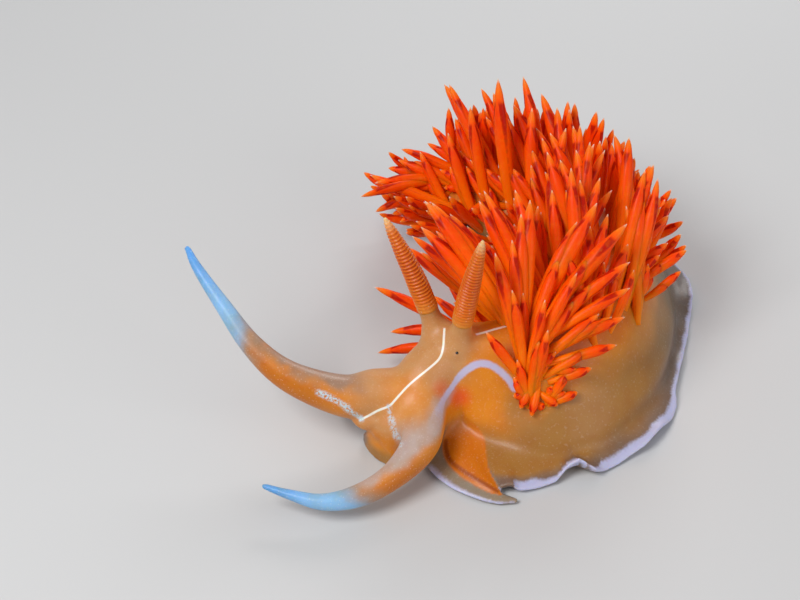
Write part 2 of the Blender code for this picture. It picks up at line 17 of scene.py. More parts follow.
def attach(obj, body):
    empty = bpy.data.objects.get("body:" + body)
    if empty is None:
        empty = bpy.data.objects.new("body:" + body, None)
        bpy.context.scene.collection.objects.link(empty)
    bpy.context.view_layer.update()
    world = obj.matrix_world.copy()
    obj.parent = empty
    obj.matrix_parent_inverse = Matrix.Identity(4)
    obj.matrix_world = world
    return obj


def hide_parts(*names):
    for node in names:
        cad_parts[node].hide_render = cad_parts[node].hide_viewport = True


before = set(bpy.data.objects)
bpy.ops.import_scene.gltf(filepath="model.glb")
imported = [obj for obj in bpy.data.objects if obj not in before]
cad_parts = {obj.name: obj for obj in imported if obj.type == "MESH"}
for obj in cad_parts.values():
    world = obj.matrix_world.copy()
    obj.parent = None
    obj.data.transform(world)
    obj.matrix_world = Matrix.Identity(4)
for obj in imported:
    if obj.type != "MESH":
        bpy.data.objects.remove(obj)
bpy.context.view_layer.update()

MM = 0.001
CENTRE = (-4.1, 8.5)

# x, y, height of the back, half width of the trunk, reach of the foot to left and to right
BODY_ROUTE = (
    (-9.3, -6.1, 4.8, 2.4, 2.6, 2.6),
    (-7.1, -4.0, 7.6, 2.7, 3.3, 3.1),
    (-4.5, -1.8, 8.9, 2.8, 4.2, 3.6),
    (-0.8, -1.3, 9.0, 3.4, 7.2, 4.6),
    (3.2, -0.7, 9.0, 4.3, 9.4, 5.2),
    (6.6, 1.8, 9.0, 4.6, 8.6, 5.2),
    (8.6, 5.6, 9.0, 4.6, 7.8, 5.0),
    (8.9, 10.0, 8.8, 4.5, 8.4, 4.4),
    (7.6, 14.4, 8.6, 4.4, 9.4, 4.0),
    (4.6, 17.9, 8.2, 4.2, 9.0, 3.8),
    (0.1, 20.5, 7.6, 3.9, 7.2, 3.6),
    (-4.0, 23.2, 6.2, 3.2, 5.2, 3.4),
    (-6.6, 27.2, 3.8, 2.2, 3.4, 2.8),
    (-7.2, 32.2, 1.3, 0.9, 0.9, 0.9),
)
NOSE_REACH = 1.3
NOSE_TURNS = (12, 24, 36, 48, 60, 72, 82)
NOSE_MIDDLE = 3.4  # height of the middle of the rounded front
FOOT_TOP = 1.5
THIN_HEIGHT = 6.0  # where the back is lower than this, the foot thins out with it
CALM_REACH = 3.0  # where the foot reaches less than this, its frills are lower
BODY_RINGS = 150
FOOT_FRONT = 7.0  # how far back the foot's own plate runs under the head
FOOT_FRONT_RINGS = 14
# The trunk's side from the foot to the ridge: share of the half width, of the foot's reach, and of the height.
TRUNK_SIDE = (
    (0.00, 0.78, 0.00), (0.45, 0.49, 0.16), (0.86, 0.11, 0.42), (0.78, 0.00, 0.74), (0.44, 0.00, 0.94),
    (0.00, 0.00, 1.00),
)
# The foot from the middle of its sole round its edge to the flank: share of the reach, share of the lift, height.
FOOT_SIDE = (
    (0.00, 0.00, 0.00), (0.45, 0.00, 0.00), (0.80, 0.05, 0.00), (0.93, 0.45, 0.03), (0.985, 0.90, 0.10),
    (1.00, 1.00, 0.24), (0.985, 1.00, 0.40), (0.93, 0.62, 0.62), (0.86, 0.25, 1.02),
)
# Reach of the foot's thin edge on the left side, by the distance along the midline.
EDGE_LEFT = (
    (0.0, 2.6), (3.0, 3.2), (6.0, 4.4), (8.0, 7.2), (9.2, 9.4), (10.4, 9.9), (12.0, 9.7), (12.9, 9.3),
    (13.4, 9.1), (13.9, 8.3), (14.35, 9.6), (14.9, 9.2), (16.2, 9.0), (17.1, 9.15), (18.2, 8.8), (19.3, 8.6),
    (20.3, 8.1), (21.0, 7.4), (22.5, 7.1), (24.1, 7.2), (26.2, 7.8), (28.2, 8.8), (30.2, 9.5), (32.5, 9.4),
    (36.0, 8.6), (39.6, 7.2), (44.5, 5.2), (49.0, 3.4), (54.0, 0.9),
)
# The same on the right side.
EDGE_RIGHT = (
    (0.0, 2.6), (3.0, 3.1), (6.0, 3.6), (9.6, 4.5), (13.6, 5.2), (22.0, 5.0), (26.4, 4.4), (31.0, 3.9),
    (34.0, 3.4), (38.0, 2.9), (43.0, 2.7), (48.0, 2.3), (54.0, 0.9),
)
# Where the edge is lifted in a frill: distance along the midline, half length and height.
FRILLS = (
    (10.4, 1.0, 0.8), (14.0, 0.8, 1.3), (17.7, 1.7, 0.6), (22.8, 2.0, 0.5), (28.6, 2.2, 0.6), (35.0, 2.4, 0.7),
    (41.0, 2.2, 0.6),
)
RUFFLE_WAVES = ((2.3, 0.10), (3.7, 0.12))  # wavelength and height of the small ruffles along the edge
RIGHT_FRILL = 0.5  # how high the right side's frills are beside the left side's

# x, y, z, half width, half height
TENTACLE_RIGHT = (
    (-7.6, -4.4, 4.6, 2.1, 2.2),
    (-10.0, -4.3, 4.7, 2.1, 2.1),
    (-12.9, -4.7, 4.9, 1.7, 1.7),
    (-17.1, -4.2, 6.5, 1.25, 1.25),
    (-20.0, -2.7, 8.4, 0.92, 0.92),
    (-22.4, -0.4, 10.7, 0.66, 0.66),
    (-24.4, 1.8, 12.6, 0.45, 0.45),
    (-25.3, 3.3, 13.5, 0.27, 0.27),
)
TENTACLE_LEFT = (
    (-6.5, -5.0, 4.5, 1.8, 2.0),
    (-6.3, -7.2, 4.0, 1.7, 1.8),
    (-7.1, -9.4, 3.3, 1.42, 1.42),
    (-9.0, -11.5, 2.6, 1.05, 1.05),
    (-11.5, -13.1, 2.2, 0.90, 0.90),
    (-14.2, -13.7, 2.1, 0.68, 0.68),
    (-16.8, -13.2, 2.4, 0.43, 0.43),
    (-18.8, -12.6, 2.7, 0.25, 0.25),
)
ARM_SIDES, ARM_PITCH = 28, 0.4
ARM_TIP_TURNS = (25, 50, 72)
CORNER_LEFT = (
    (-5.0, -4.0, 0.40, 2.2, 0.38),
    (-4.2, -6.9, 0.40, 2.4, 0.34),
    (-3.2, -8.9, 0.40, 2.1, 0.32),
    (-2.1, -10.4, 0.38, 1.4, 0.30),
    (-0.8, -11.5, 0.36, 0.75, 0.28),
    (0.7, -11.85, 0.34, 0.25, 0.24),
)
# The thicker orange leaf on top of the left corner's pale edge.
CORNER_FOLD = (
    (-3.5, -3.6, 1.3, 1.4, 1.0),
    (-3.2, -5.5, 1.1, 1.6, 0.85),
    (-3.1, -7.2, 0.9, 1.6, 0.70),
    (-2.6, -8.7, 0.75, 1.25, 0.60),
    (-1.9, -9.9, 0.65, 0.85, 0.50),
    (-1.1, -10.9, 0.58, 0.5, 0.40),
    (-0.5, -11.5, 0.5, 0.2, 0.25),
)
CORNER_RIGHT = (
    (-7.2, -3.8, 0.75, 1.8, 0.45),
    (-9.3, -2.6, 0.75, 1.8, 0.65),
    (-11.0, -1.2, 0.75, 1.6, 0.60),
    (-11.9, 0.3, 0.65, 1.1, 0.50),
    (-12.1, 1.4, 0.5, 0.7, 0.4),
    (-11.8, 2.5, 0.4, 0.3, 0.3),
)
RHINOPHORES = {
    "left": ((-3.74, -2.1, 8.2), (-3.0, -2.7, 13.8), (-2.1, -3.3, 19.4)),
    "right": ((-5.35, -0.6, 8.0), (-7.2, -0.1, 13.4), (-9.5, 0.6, 18.6)),
}
STALK_LENGTH = 3.0
STALK_RADII = (1.60, 0.84)
STALK_FLARE = 2.2  # how quickly the stalk widens at its foot
STALK_RINGS, STALK_SIDES = 10, 24
LAMELLAE = 29
# share of the way up, radius
RHINOPHORE_RADII = ((0.0, 0.86), (0.30, 0.80), (0.6, 0.66), (0.85, 0.43), (0.95, 0.27), (1.0, 0.10))
# One lamella: share of its pitch, how far it stands out, and how much of it counts as its pale edge.
LAMELLA = ((0.0, -0.12, 0.0), (0.32, -0.06, 0.1), (0.60, 0.06, 1.0), (0.76, 0.06, 1.0), (0.90, -0.09, 0.2))
LAMELLA_START = (-0.05, 0.28)  # shares of the way up between which the lamellae grow out of the stalk
COAT_OVERLAP = 0.5  # how far the ringed part reaches down into its stalk
RHINOPHORE_SIDES = 32

# The lobes about the mouth: middle, half sizes along and across the face and in height.
LOBES = (
    ((-10.9, -5.6, 3.5), (1.5, 1.25, 1.0)),
    ((-9.9, -6.6, 3.0), (0.75, 0.7, 0.9)),
    ((-9.1, -6.7, 2.1), (1.2, 0.9, 1.1)),
)
FACE_TURN = -43.0

VOXEL = 0.15
EVEN_STRENGTH, EVEN_ROUNDS = 0.5, 5  # the smoothing of the whole skin
# Places where forms run softly into each other: x, y, z, and how far the softness reaches.
BLENDS = (
    (-9.2, -4.4, 4.9, 2.6),
    (-6.0, -6.4, 4.4, 3.2),
    (-8.0, -6.2, 4.6, 2.6),
    (-3.8, -2.1, 8.9, 2.2),
    (-5.6, -0.6, 8.6, 2.2),
    (-4.4, -6.2, 1.4, 2.4),
    (-8.8, -3.2, 1.4, 2.4),
    (0.5, -6.8, 1.3, 2.8),
    (-1.0, -6.6, 1.3, 2.2),
)
BLEND_SPREAD = 0.9  # how far the smoothing there works
BLEND_STRENGTH = 0.6
BLEND_ROUNDS = 3.3  # rounds for a spread of one voxel

EYE_PIXEL = (457, 353)
EYE_RADIUS = 0.13
EYE_SINK = 0.35  # how much of the radius the bead's middle lies under the skin

PICTURE = (800, 600)
LENS = 85
SENSOR = 36
CAMERA_AIM = (-8.33, 5.8, 6.0)
CAMERA_DISTANCE = 157.5
CAMERA_ELEVATION = 40.0


def catmull(points, steps):
    """A smooth curve through the points, as a dense array of rows."""
    rows = np.array(points, float)
    rows = np.vstack([2 * rows[0] - rows[1], rows, 2 * rows[-1] - rows[-2]])
    u = np.arange(steps)[:, None] / steps
    pieces = []
    for i in range(1, len(rows) - 2):
        a, b, c, d = rows[i - 1 : i + 3]
        bend = 2 * a - 5 * b + 4 * c - d
        twist = 3 * b - a - 3 * c + d
        pieces.append(0.5 * (2 * b + (c - a) * u + bend * u**2 + twist * u**3))
    return np.vstack([*pieces, rows[-2:-1]])


def unit(vector):
    return vector / np.linalg.norm(vector)


def smooth(low, high, value):
    """0 below low, 1 above high and an even S between, also where low is the larger."""
    share = np.clip((value - low) / (high - low), 0, 1)
    return share * share * (3 - 2 * share)


class Route:
    """A smooth curve, read by the distance along its first `axes` columns."""

    def __init__(self, points, axes, steps=24):
        self.rows = catmull(points, steps)
        gaps = np.linalg.norm(np.diff(self.rows[:, :axes], axis=0), axis=1)
        self.stations = np.concatenate([[0.0], np.cumsum(gaps)])
        self.length = self.stations[-1]
        self.axes = axes

    def at(self, station):
        return np.array([np.interp(station, self.stations, column) for column in self.rows.T])

    def rows_at(self, stations):
        return np.array([np.interp(stations, self.stations, column) for column in self.rows.T]).T

    def along(self, station):
        step = 0.05
        ahead = self.at(min(station + step, self.length))[: self.axes]
        behind = self.at(max(station - step, 0.0))[: self.axes]
        return unit(ahead - behind)

    def nearest(self, points):
        """For each point the station of the nearest place on the curve, and the distance to it."""
        line = self.rows[:, : self.axes]
        stations, distances = [], []
        for part in np.array_split(points[:, : self.axes], max(1, len(points) // 20000)):
            gaps = ((part[:, None, :] - line[None]) ** 2).sum(2)
            best = gaps.argmin(1)
            stations.append(self.stations[best])
            distances.append(np.sqrt(gaps[np.arange(len(part)), best]))
        return np.concatenate(stations), np.concatenate(distances)


BODY = Route(BODY_ROUTE, 2)
ARMS = {
    "tentacle_right": Route(TENTACLE_RIGHT, 3),
    "tentacle_left": Route(TENTACLE_LEFT, 3),
    "corner_left": Route(CORNER_LEFT, 3),
    "fold_left": Route(CORNER_FOLD, 3),
    "corner_right": Route(CORNER_RIGHT, 3),
}


def body_ways(station):
    tail_ward = BODY.along(station)
    return np.array([*tail_ward, 0.0]), np.array([tail_ward[1], -tail_ward[0], 0.0])


def reach_to(station, side):
    return BODY.at(station)[4 if side > 0 else 5]


def trunk_rows(station, side, floor):
    """Points round one side of the trunk: distance from the middle, and height."""
    height, half = BODY.at(station)[2:4]
    reach = reach_to(station, side)
    return [(a * half + b * reach, floor + c * (height - floor)) for a, b, c in TRUNK_SIDE]


def foot_edge(station, side):
    return np.interp(station, *zip(*(EDGE_LEFT if side > 0 else EDGE_RIGHT)))


def frill(station, side):
    lift = 0.0
    for middle, half, height in FRILLS:
        away = abs(station - middle) / half
        if away < 1:
            lift += height * (0.5 + 0.5 * math.cos(math.pi * away))
    lift *= 1.0 if side > 0 else RIGHT_FRILL
    for i, (wave, height) in enumerate(RUFFLE_WAVES):
        lift += height * (1 + math.sin(2 * math.pi * station / wave + 2.1 * i + side))
    return lift


def section(station, side):
    """One side of the whole body's section, from the middle of the sole round the foot's edge to the ridge."""
    edge = foot_edge(station, side)
    lift = frill(station, side) * min(1.0, reach_to(station, side) / CALM_REACH)
    low = min(1.0, BODY.at(station)[2] / THIN_HEIGHT)
    foot = [(edge * a, lift * b + c * low) for a, b, c in FOOT_SIDE]
    return catmull(foot + trunk_rows(station, side, FOOT_TOP * low), 5)


def ring_of(station, left, right, shift, shrink):
    """A closed ring of points from the two sides of a section, moved along the midline and narrowed."""
    rows = np.vstack([left, right[::-1][1:-1] * (-1, 1)])
    rows[:, 0] *= shrink
    tail_ward, across = body_ways(station)
    middle = np.array([*BODY.at(station)[:2], 0.0]) + tail_ward * shift
    return [middle + across * offset + np.array([0, 0, z]) for offset, z in rows]


def body_ring(station, shift=0.0, shrink=1.0):
    sides = [section(station, side) for side in (1, -1)]
    for rows in sides:
        rows[:, 1] = NOSE_MIDDLE + (rows[:, 1] - NOSE_MIDDLE) * shrink
    return ring_of(station, *sides, shift, shrink)


def foot_ring(station, shift=0.0, shrink=1.0):
    """The foot's plate on its own, for the part of it that lies under the head."""
    sides = []
    for reach in BODY.at(station)[4:6]:
        rows = [(reach * a, c) for a, b, c in FOOT_SIDE] + [(reach * 0.4, FOOT_TOP), (0, FOOT_TOP)]
        sides.append(catmull(rows, 4))
    return ring_of(station, *sides, shift, shrink)


def rounded_front(ring):
    """The rings that close the front end in a quarter round."""
    turns = [math.radians(turn) for turn in reversed(NOSE_TURNS)]
    return [ring(0.0, -NOSE_REACH * math.sin(turn), math.cos(turn)) for turn in turns]


def oval(route, station, sides, shrink=1.0, shift=0.0):
    row = route.at(station)
    course = route.along(station)
    across = unit(np.cross(course, (0, 0, 1)))
    upwards = np.cross(across, course)
    angles = np.arange(sides) * 2 * math.pi / sides
    middle = row[:3] + course * shift
    return [
        middle + (across * row[3] * math.cos(a) + upwards * row[4] * math.sin(a)) * shrink for a in angles
    ]


def arm_rings(route):
    """Sections along an arm, with a rounded tip."""
    stations = np.linspace(0, route.length, int(route.length / ARM_PITCH))
    rings = [oval(route, s, ARM_SIDES) for s in stations]
    tip = route.rows[-1][3]
    for turn in ARM_TIP_TURNS:
        angle = math.radians(turn)
        rings.append(oval(route, route.length, ARM_SIDES, math.cos(angle), tip * math.sin(angle)))
    return rings


def stalk_rings(side):
    """The smooth foot of a rhinophore, which widens into the head."""
    route = Route(RHINOPHORES[side], 3)
    low, high = STALK_RADII
    rings = []
    for share in np.linspace(0, 1, STALK_RINGS):
        radius = high + (low - high) * (1 - share) ** STALK_FLARE
        rings.append(round_ring(route, share * STALK_LENGTH, radius, STALK_SIDES))
    return rings


def loft_faces(ring_count, sides, start=0):
    faces = [tuple(range(start, start + sides))[::-1]]
    for i in range(ring_count - 1):
        for j in range(sides):
            a = start + i * sides
            k = (j + 1) % sides
            faces.append((a + j, a + k, a + sides + k, a + sides + j))
    last = start + (ring_count - 1) * sides
    faces.append(tuple(range(last, last + sides)))
    return faces


def to_row(points):
    return (np.asarray(points, float) - np.array([*CENTRE, 0.0])) * MM


def from_row(points):
    return np.asarray(points, float) / MM + np.array([*CENTRE, 0.0])


def new_object(name, points, faces):
    mesh = bpy.data.meshes.new(name)
    mesh.from_pydata([tuple(p) for p in to_row(points)], [], faces)
    obj = bpy.data.objects.new(name, mesh)
    bpy.context.scene.collection.objects.link(obj)
    return obj


def ball(centre, sizes, turn=0.0, rings=16):
    """Points and faces of an oval ball, turned about the upright axis."""
    work = bmesh.new()
    bmesh.ops.create_uvsphere(work, u_segments=2 * rings, v_segments=rings, radius=1.0)
    points = []
    for vertex in work.verts:
        x, y, z = (value * size for value, size in zip(vertex.co, sizes))
        turned = (x * math.cos(turn) - y * math.sin(turn), x * math.sin(turn) + y * math.cos(turn), z)
        points.append(np.array(centre) + turned)
    faces = [tuple(v.index for v in face.verts) for face in work.faces]
    work.free()
    return points, faces


def lofted(rings):
    points = [p for ring in rings for p in ring]
    return points, loft_faces(len(rings), len(rings[0]))


def joined(name, shapes):
    """One object from several shapes of points and faces, each with its faces turned outwards."""
    points, faces = [], []
    for shape_points, shape_faces in shapes:
        start = len(points)
        points += list(shape_points)
        faces += [tuple(i + start for i in face) for face in shape_faces]
    obj = new_object(name, points, faces)
    work = bmesh.new()
    work.from_mesh(obj.data)
    bmesh.ops.recalc_face_normals(work, faces=work.faces)
    work.to_mesh(obj.data)
    work.free()
    return obj


def flesh_shapes():
    """Closed forms that together fill the body, in lengths of the part's own numbers."""
    body = [body_ring(s) for s in np.linspace(0, BODY.length, BODY_RINGS)]
    foot = [foot_ring(s) for s in np.linspace(0, FOOT_FRONT, FOOT_FRONT_RINGS)]
    shapes = [lofted(rounded_front(body_ring) + body), lofted(rounded_front(foot_ring) + foot)]
    shapes += [lofted(arm_rings(route)) for route in ARMS.values()]
    shapes += [lofted(stalk_rings(side)) for side in RHINOPHORES]
    shapes += [ball(middle, sizes, math.radians(FACE_TURN)) for middle, sizes in LOBES]
    return shapes


def round_ring(route, station, radius, sides):
    place = route.at(station)[:3]
    course = route.along(station)
    across = unit(np.cross(course, (0, 1, 0.2)))
    around = np.cross(across, course)
    angles = np.arange(sides) * 2 * math.pi / sides
    return [place + radius * (across * math.cos(a) + around * math.sin(a)) for a in angles]


def mesh_points(mesh):
    points = np.empty(len(mesh.vertices) * 3)
    mesh.vertices.foreach_get("co", points)
    return points.reshape(-1, 3)


def mesh_edges(mesh):
    edges = np.empty(len(mesh.edges) * 2, np.int64)
    mesh.edges.foreach_get("vertices", edges)
    return edges.reshape(-1, 2)


def relax(points, edges, strength, rounds):
    """Moves each point towards the middle of its neighbours, by a strength of its own."""
    count = np.bincount(edges.ravel(), minlength=len(points))
    for _ in range(rounds):
        for axis in range(3):
            values = points[:, axis]
            total = np.bincount(edges[:, 0], values[edges[:, 1]], len(points))
            total += np.bincount(edges[:, 1], values[edges[:, 0]], len(points))
            values += (total / count - values) * strength
    return points


def make_skin():
    """One closed skin over all flesh, by a voxel remesh of its forms, smoothed more where they meet."""
    skin = joined("skin", flesh_shapes())
    remesh = skin.modifiers.new("Remesh", "REMESH")
    remesh.mode = "VOXEL"
    remesh.voxel_size = VOXEL * MM
    mesh = bpy.data.meshes.new_from_object(skin.evaluated_get(bpy.context.evaluated_depsgraph_get()))
    skin.modifiers.clear()
    skin.data = mesh
    points = from_row(mesh_points(mesh))
    edges = mesh_edges(mesh)
    relax(points, edges, np.full(len(points), EVEN_STRENGTH), EVEN_ROUNDS)
    strength = np.zeros(len(points))
    for x, y, z, reach in BLENDS:
        away = np.linalg.norm(points - (x, y, z), axis=1)
        strength = np.maximum(strength, BLEND_STRENGTH * smooth(1.0, 0.45, away / reach))
    relax(points, edges, strength, int((BLEND_SPREAD / VOXEL) ** 2 * BLEND_ROUNDS))
    points[:, 2] = np.maximum(points[:, 2], 0.0)
    mesh.vertices.foreach_set("co", to_row(points).ravel())
    mesh.update()
    mesh.shade_smooth()
    return skin, points


# Colours of the flesh, as they look on a screen.
CREAM = (0.80, 0.58, 0.36)
TAN = (0.66, 0.46, 0.20)
GREY_TAN = (0.40, 0.34, 0.24)
AMBER = (0.88, 0.54, 0.06)
ORANGE = (0.84, 0.43, 0.02)
RED_SPOT = (0.90, 0.34, 0.10)
PINK_WHITE = (0.74, 0.67, 0.65)
LAVENDER = (0.76, 0.77, 0.90)
BLUE_WHITE = (0.55, 0.74, 0.90)
PALE_BLUE = (0.34, 0.62, 0.90)
GREY_WHITE = (0.66, 0.56, 0.47)
WHITE = (0.97, 0.95, 0.90)
BROWN_ORANGE = (0.60, 0.27, 0.03)
FOLD_ORANGE = (0.82, 0.46, 0.02)
RIM_GREY = (0.42, 0.38, 0.38)
GLOW = (0.90, 0.55, 0.04)
TENTACLE_ORANGE = (0.78, 0.45, 0.04)
TRANSLUCENT = (0.60, 0.55, 0.48)
MOTTLE_WHITE = (0.78, 0.84, 0.88)
GLAND_RED = (0.70, 0.045, 0.0)


def linear(colour):
    """A screen colour as the light values that the shaders take."""
    return tuple(c / 12.92 if c < 0.04045 else ((c + 0.055) / 1.055) ** 2.4 for c in colour)


def blend(base, colour, weight):
    """Base colours turned towards one colour by a weight for each point."""
    return base + (np.array(linear(colour)) - base) * np.clip(weight, 0, 1)[:, None]


def put(mesh, name, values):
    """Writes one number, or one colour, for each point of a mesh."""
    if values.ndim == 1:
        layer = mesh.attributes.new(name, "FLOAT", "POINT")
        layer.data.foreach_set("value", values.astype(np.float32))
    else:
        layer = mesh.attributes.new(name, "FLOAT_COLOR", "POINT")
        full = np.ones((len(values), 4), np.float32)
        full[:, :3] = values
        layer.data.foreach_set("color", full.ravel())


# Zones of the body's colour, laid one over the other: colour, strength, and tests that multiply it. A test has a
# measure, the values between which it rises from 0 to 1, and how much of the cloudy grain is added to the measure.
ZONES = (
    (GREY_TAN, 0.9, (("station", 17, 27, 3.0), ("height", 6.5, 3.0, 0.0))),
    (AMBER, 0.8, (("rise", 0.50, 0.88, 0.15), ("station", 58, 40, 0.0))),
    (ORANGE, 1.0, (("rise", 0.72, 1.0, 0.12), ("station", 10, 13, 0.0))),
    (AMBER, 0.9, (("station", 13, 9.5, 2.0), ("rise", 0.15, 0.4, 0.0))),
    (CREAM, 1.0, (("station", 9.8, 7.6, 1.0), ("rise", 0.55, 0.80, 0.0))),
)
GREY_RIM = (1.4, 2.4)  # how far the grey reaches in from the edge in front, and how much further at the rear
PALE_RIM = (0.16, 0.42, 0.35)  # width of the pale edge, and how much wider it is on the near side and in front
# Markings by the photograph's pixels, which the script casts onto the skin: white lines, mottled edges, the pale
# band behind the head, the pale stripe on the near tentacle, the folded corner's dark edge, and red spots.
LINES = (
    ((444, 335), (443, 348), (439, 359), (427, 370), (410, 384), (396, 399), (389, 406), (377, 411), (366, 417)),
    ((482, 333), (492, 330), (503, 327)),
)
SPECKLED = (  # pixels, where the mottling starts and is full beside them, and its strength
    (((361, 419), (351, 412), (345, 406), (338, 402), (328, 397), (318, 392)), 0.36, 0.10, 1.0),
    (((389, 407), (390, 414), (393, 425), (397, 437), (401, 445)), 0.34, 0.12, 0.8),
)
BAND = (
    (514, 388), (507, 378), (498, 370), (487, 364), (475, 365), (465, 371), (456, 381), (449, 391),
    (443, 402), (439, 414), (434, 427), (428, 437),
)
STRIPE = ((448, 396), (440, 414), (431, 430), (419, 441), (407, 451), (396, 461))
FOLD_EDGE = ((446, 441), (446, 449), (450, 460), (462, 470), (478, 480), (497, 491))
RED_SPOTS = (((459, 397), 1.0, 0.9), ((441, 389), 0.8, 0.5))
SPOT_FADE = 1.5  # how far a spot or glow fades out, in its own size
# Where amber shines through the flank: pixel, reach and strength.
GLOWS = (
    ((535, 385), 1.9, 0.8),
    ((560, 375), 1.8, 0.5),
    ((600, 345), 2.2, 0.25),
    ((478, 398), 2.2, 0.45),
    ((405, 400), 2.0, 0.55),
    ((418, 388), 1.4, 0.35),
)
# Towards where the tentacles are pale, and how.
PALE_WAY = {"tentacle_right": (0.0, 0.5, 0.85), "tentacle_left": (-0.72, 0.20, 0.66)}
PALE_TINT = {"tentacle_right": (0.58, 0.50, 0.45), "tentacle_left": PINK_WHITE}
# The share of their length where the orange patch starts and ends.
PATCH = {"tentacle_right": (0.36, 0.60), "tentacle_left": (0.36, 0.57)}


def line_distance(points, line):
    """Distance to an open line, the signed distance across it, and the share of the way along it."""
    line = catmull(line, 4)
    least = np.full(len(points), 1e9)
    signed = np.zeros(len(points))
    share = np.zeros(len(points))
    for i in range(len(line) - 1):
        a, b = line[i], line[i + 1]
        way = b - a
        t = np.clip(((points - a) @ way) / (way @ way), 0, 1)
        offset = points - (a + t[:, None] * way)
        gap = np.linalg.norm(offset, axis=1)
        across = unit(np.cross(way, (0, -0.6, 0.8)))
        nearer = gap < least
        least[nearer] = gap[nearer]
        signed[nearer] = (offset @ across)[nearer]
        share[nearer] = (i + t[nearer]) / (len(line) - 1)
    return least, signed, share


def camera_ways():
    elevation = math.radians(CAMERA_ELEVATION)
    back = np.array([0.0, -math.cos(elevation), math.sin(elevation)])
    up = np.array([0.0, math.sin(elevation), math.cos(elevation)])
    return np.array([1.0, 0.0, 0.0]), up, back


def pixel_ray(pixel):
    """Where the camera stands, and the way from there through a pixel of the photograph."""
    right, up, back = camera_ways()
    scale = PICTURE[0] * LENS / SENSOR
    way = right * (pixel[0] - PICTURE[0] / 2) / scale + up * (PICTURE[1] / 2 - pixel[1]) / scale - back
    return np.array(CAMERA_AIM) + back * CAMERA_DISTANCE, unit(way)


def seen(tree, pixel):
    """The place on the skin, and its normal, that the photograph shows at a pixel."""
    start, way = pixel_ray(pixel)
    place, normal, _, _ = tree.ray_cast(Vector(to_row(start)), Vector(way))
    return (from_row(place), np.array(normal)) if place else (None, None)


def cast_line(tree, pixels):
    return np.array([p for p in (seen(tree, pixel)[0] for pixel in pixels) if p is not None])


class Places:
    """Where each point of the skin lies on the body, and two cloudy patterns at these points."""

    def __init__(self, points):
        self.station, _ = BODY.nearest(points)
        rows = BODY.rows_at(self.station)
        ahead = np.gradient(BODY.rows[:, :2], axis=0)
        ahead /= np.linalg.norm(ahead, axis=1)[:, None]
        x, y = (np.interp(self.station, BODY.stations, column) for column in ahead.T)
        lateral = (points[:, 0] - rows[:, 0]) * y - (points[:, 1] - rows[:, 1]) * x
        reach = np.where(lateral > 0, foot_edge(self.station, 1), foot_edge(self.station, -1))
        self.rim = reach - np.abs(lateral)
        self.height = points[:, 2]
        self.rise = self.height / np.maximum(rows[:, 2], 1)
        self.grain = np.array([noise.noise(Vector(p) * 0.35) for p in points])
        self.fine = np.array([noise.noise(Vector(p) * 1.1 + Vector((9, 4, 2))) for p in points])


def paint_spots(tint, tree, points, table, colour, core, haze=0.0):
    """Round soft spots about pixels: full colour up to a share of the spot's size, then fading out."""
    for pixel, size, weight in table:
        away = np.linalg.norm(points - seen(tree, pixel)[0], axis=1)
        tint = blend(tint, colour, smooth(size * SPOT_FADE, size * core, away + haze) * weight)
    return tint


def paint_body(tree, points, at):
    """Colour of the body, before the arms and markings."""
    tint = np.tile(linear(TAN), (len(points), 1))
    for colour, weight, tests in ZONES:
        for measure, first, last, share in tests:
            weight = weight * smooth(first, last, getattr(at, measure) + share * at.grain)
        tint = blend(tint, colour, weight)
    reach = GREY_RIM[0] + GREY_RIM[1] * smooth(11, 22, at.station)
    grey = smooth(reach, 0.4, at.rim + 0.8 * at.grain) * smooth(3.4, 1.6, at.height)
    tint = blend(tint, RIM_GREY, grey * 0.75)
    return paint_spots(tint, tree, points, GLOWS, GLOW, 0.3, 0.6 * at.grain)


def pale_rim(at):
    """How pale the foot's edge is, behind the folded corner."""
    width, near_side, front = PALE_RIM
    width += near_side * smooth(14.2, 15.5, at.station) * smooth(21.5, 19.5, at.station)
    width += front * smooth(13.6, 12.0, at.station)
    pale = smooth(width + 0.55, width - 0.15, at.rim + 0.18 * at.fine) * smooth(3.0, 1.8, at.height)
    return pale * smooth(10.0, 11.2, at.station)


def paint_tentacle(name, tint, points, row, share, near, fine):
    """Amber at the base, an orange patch beside a pale side, then white and blue towards the tip."""
    first, last = PATCH[name]
    size = np.maximum(row[:, 3], row[:, 4])
    pale_side = ((points - row[:, :3]) @ unit(np.array(PALE_WAY[name]))) / size
    inner = share + 0.03 * fine - 0.05 * pale_side
    layers = (
        (AMBER, 0.8, smooth(0.12, 0.26, share)),
        (TENTACLE_ORANGE, 1.0, smooth(first - 0.16, first, share) * smooth(0.6, -0.1, pale_side)),
        (PALE_TINT[name], 0.85, smooth(0.05, 0.8, pale_side + 0.3 * fine)),
        (GREY_WHITE, 0.8, smooth(last - 0.10, last + 0.02, inner)),
        (BLUE_WHITE, 1.0, smooth(last - 0.03, last + 0.10, inner)),
        (PALE_BLUE, 0.9, smooth(0.72, 1.0, share)),
    )
    for colour, strength, weight in layers:
        tint = blend(tint, colour, near * weight * strength)
    return tint


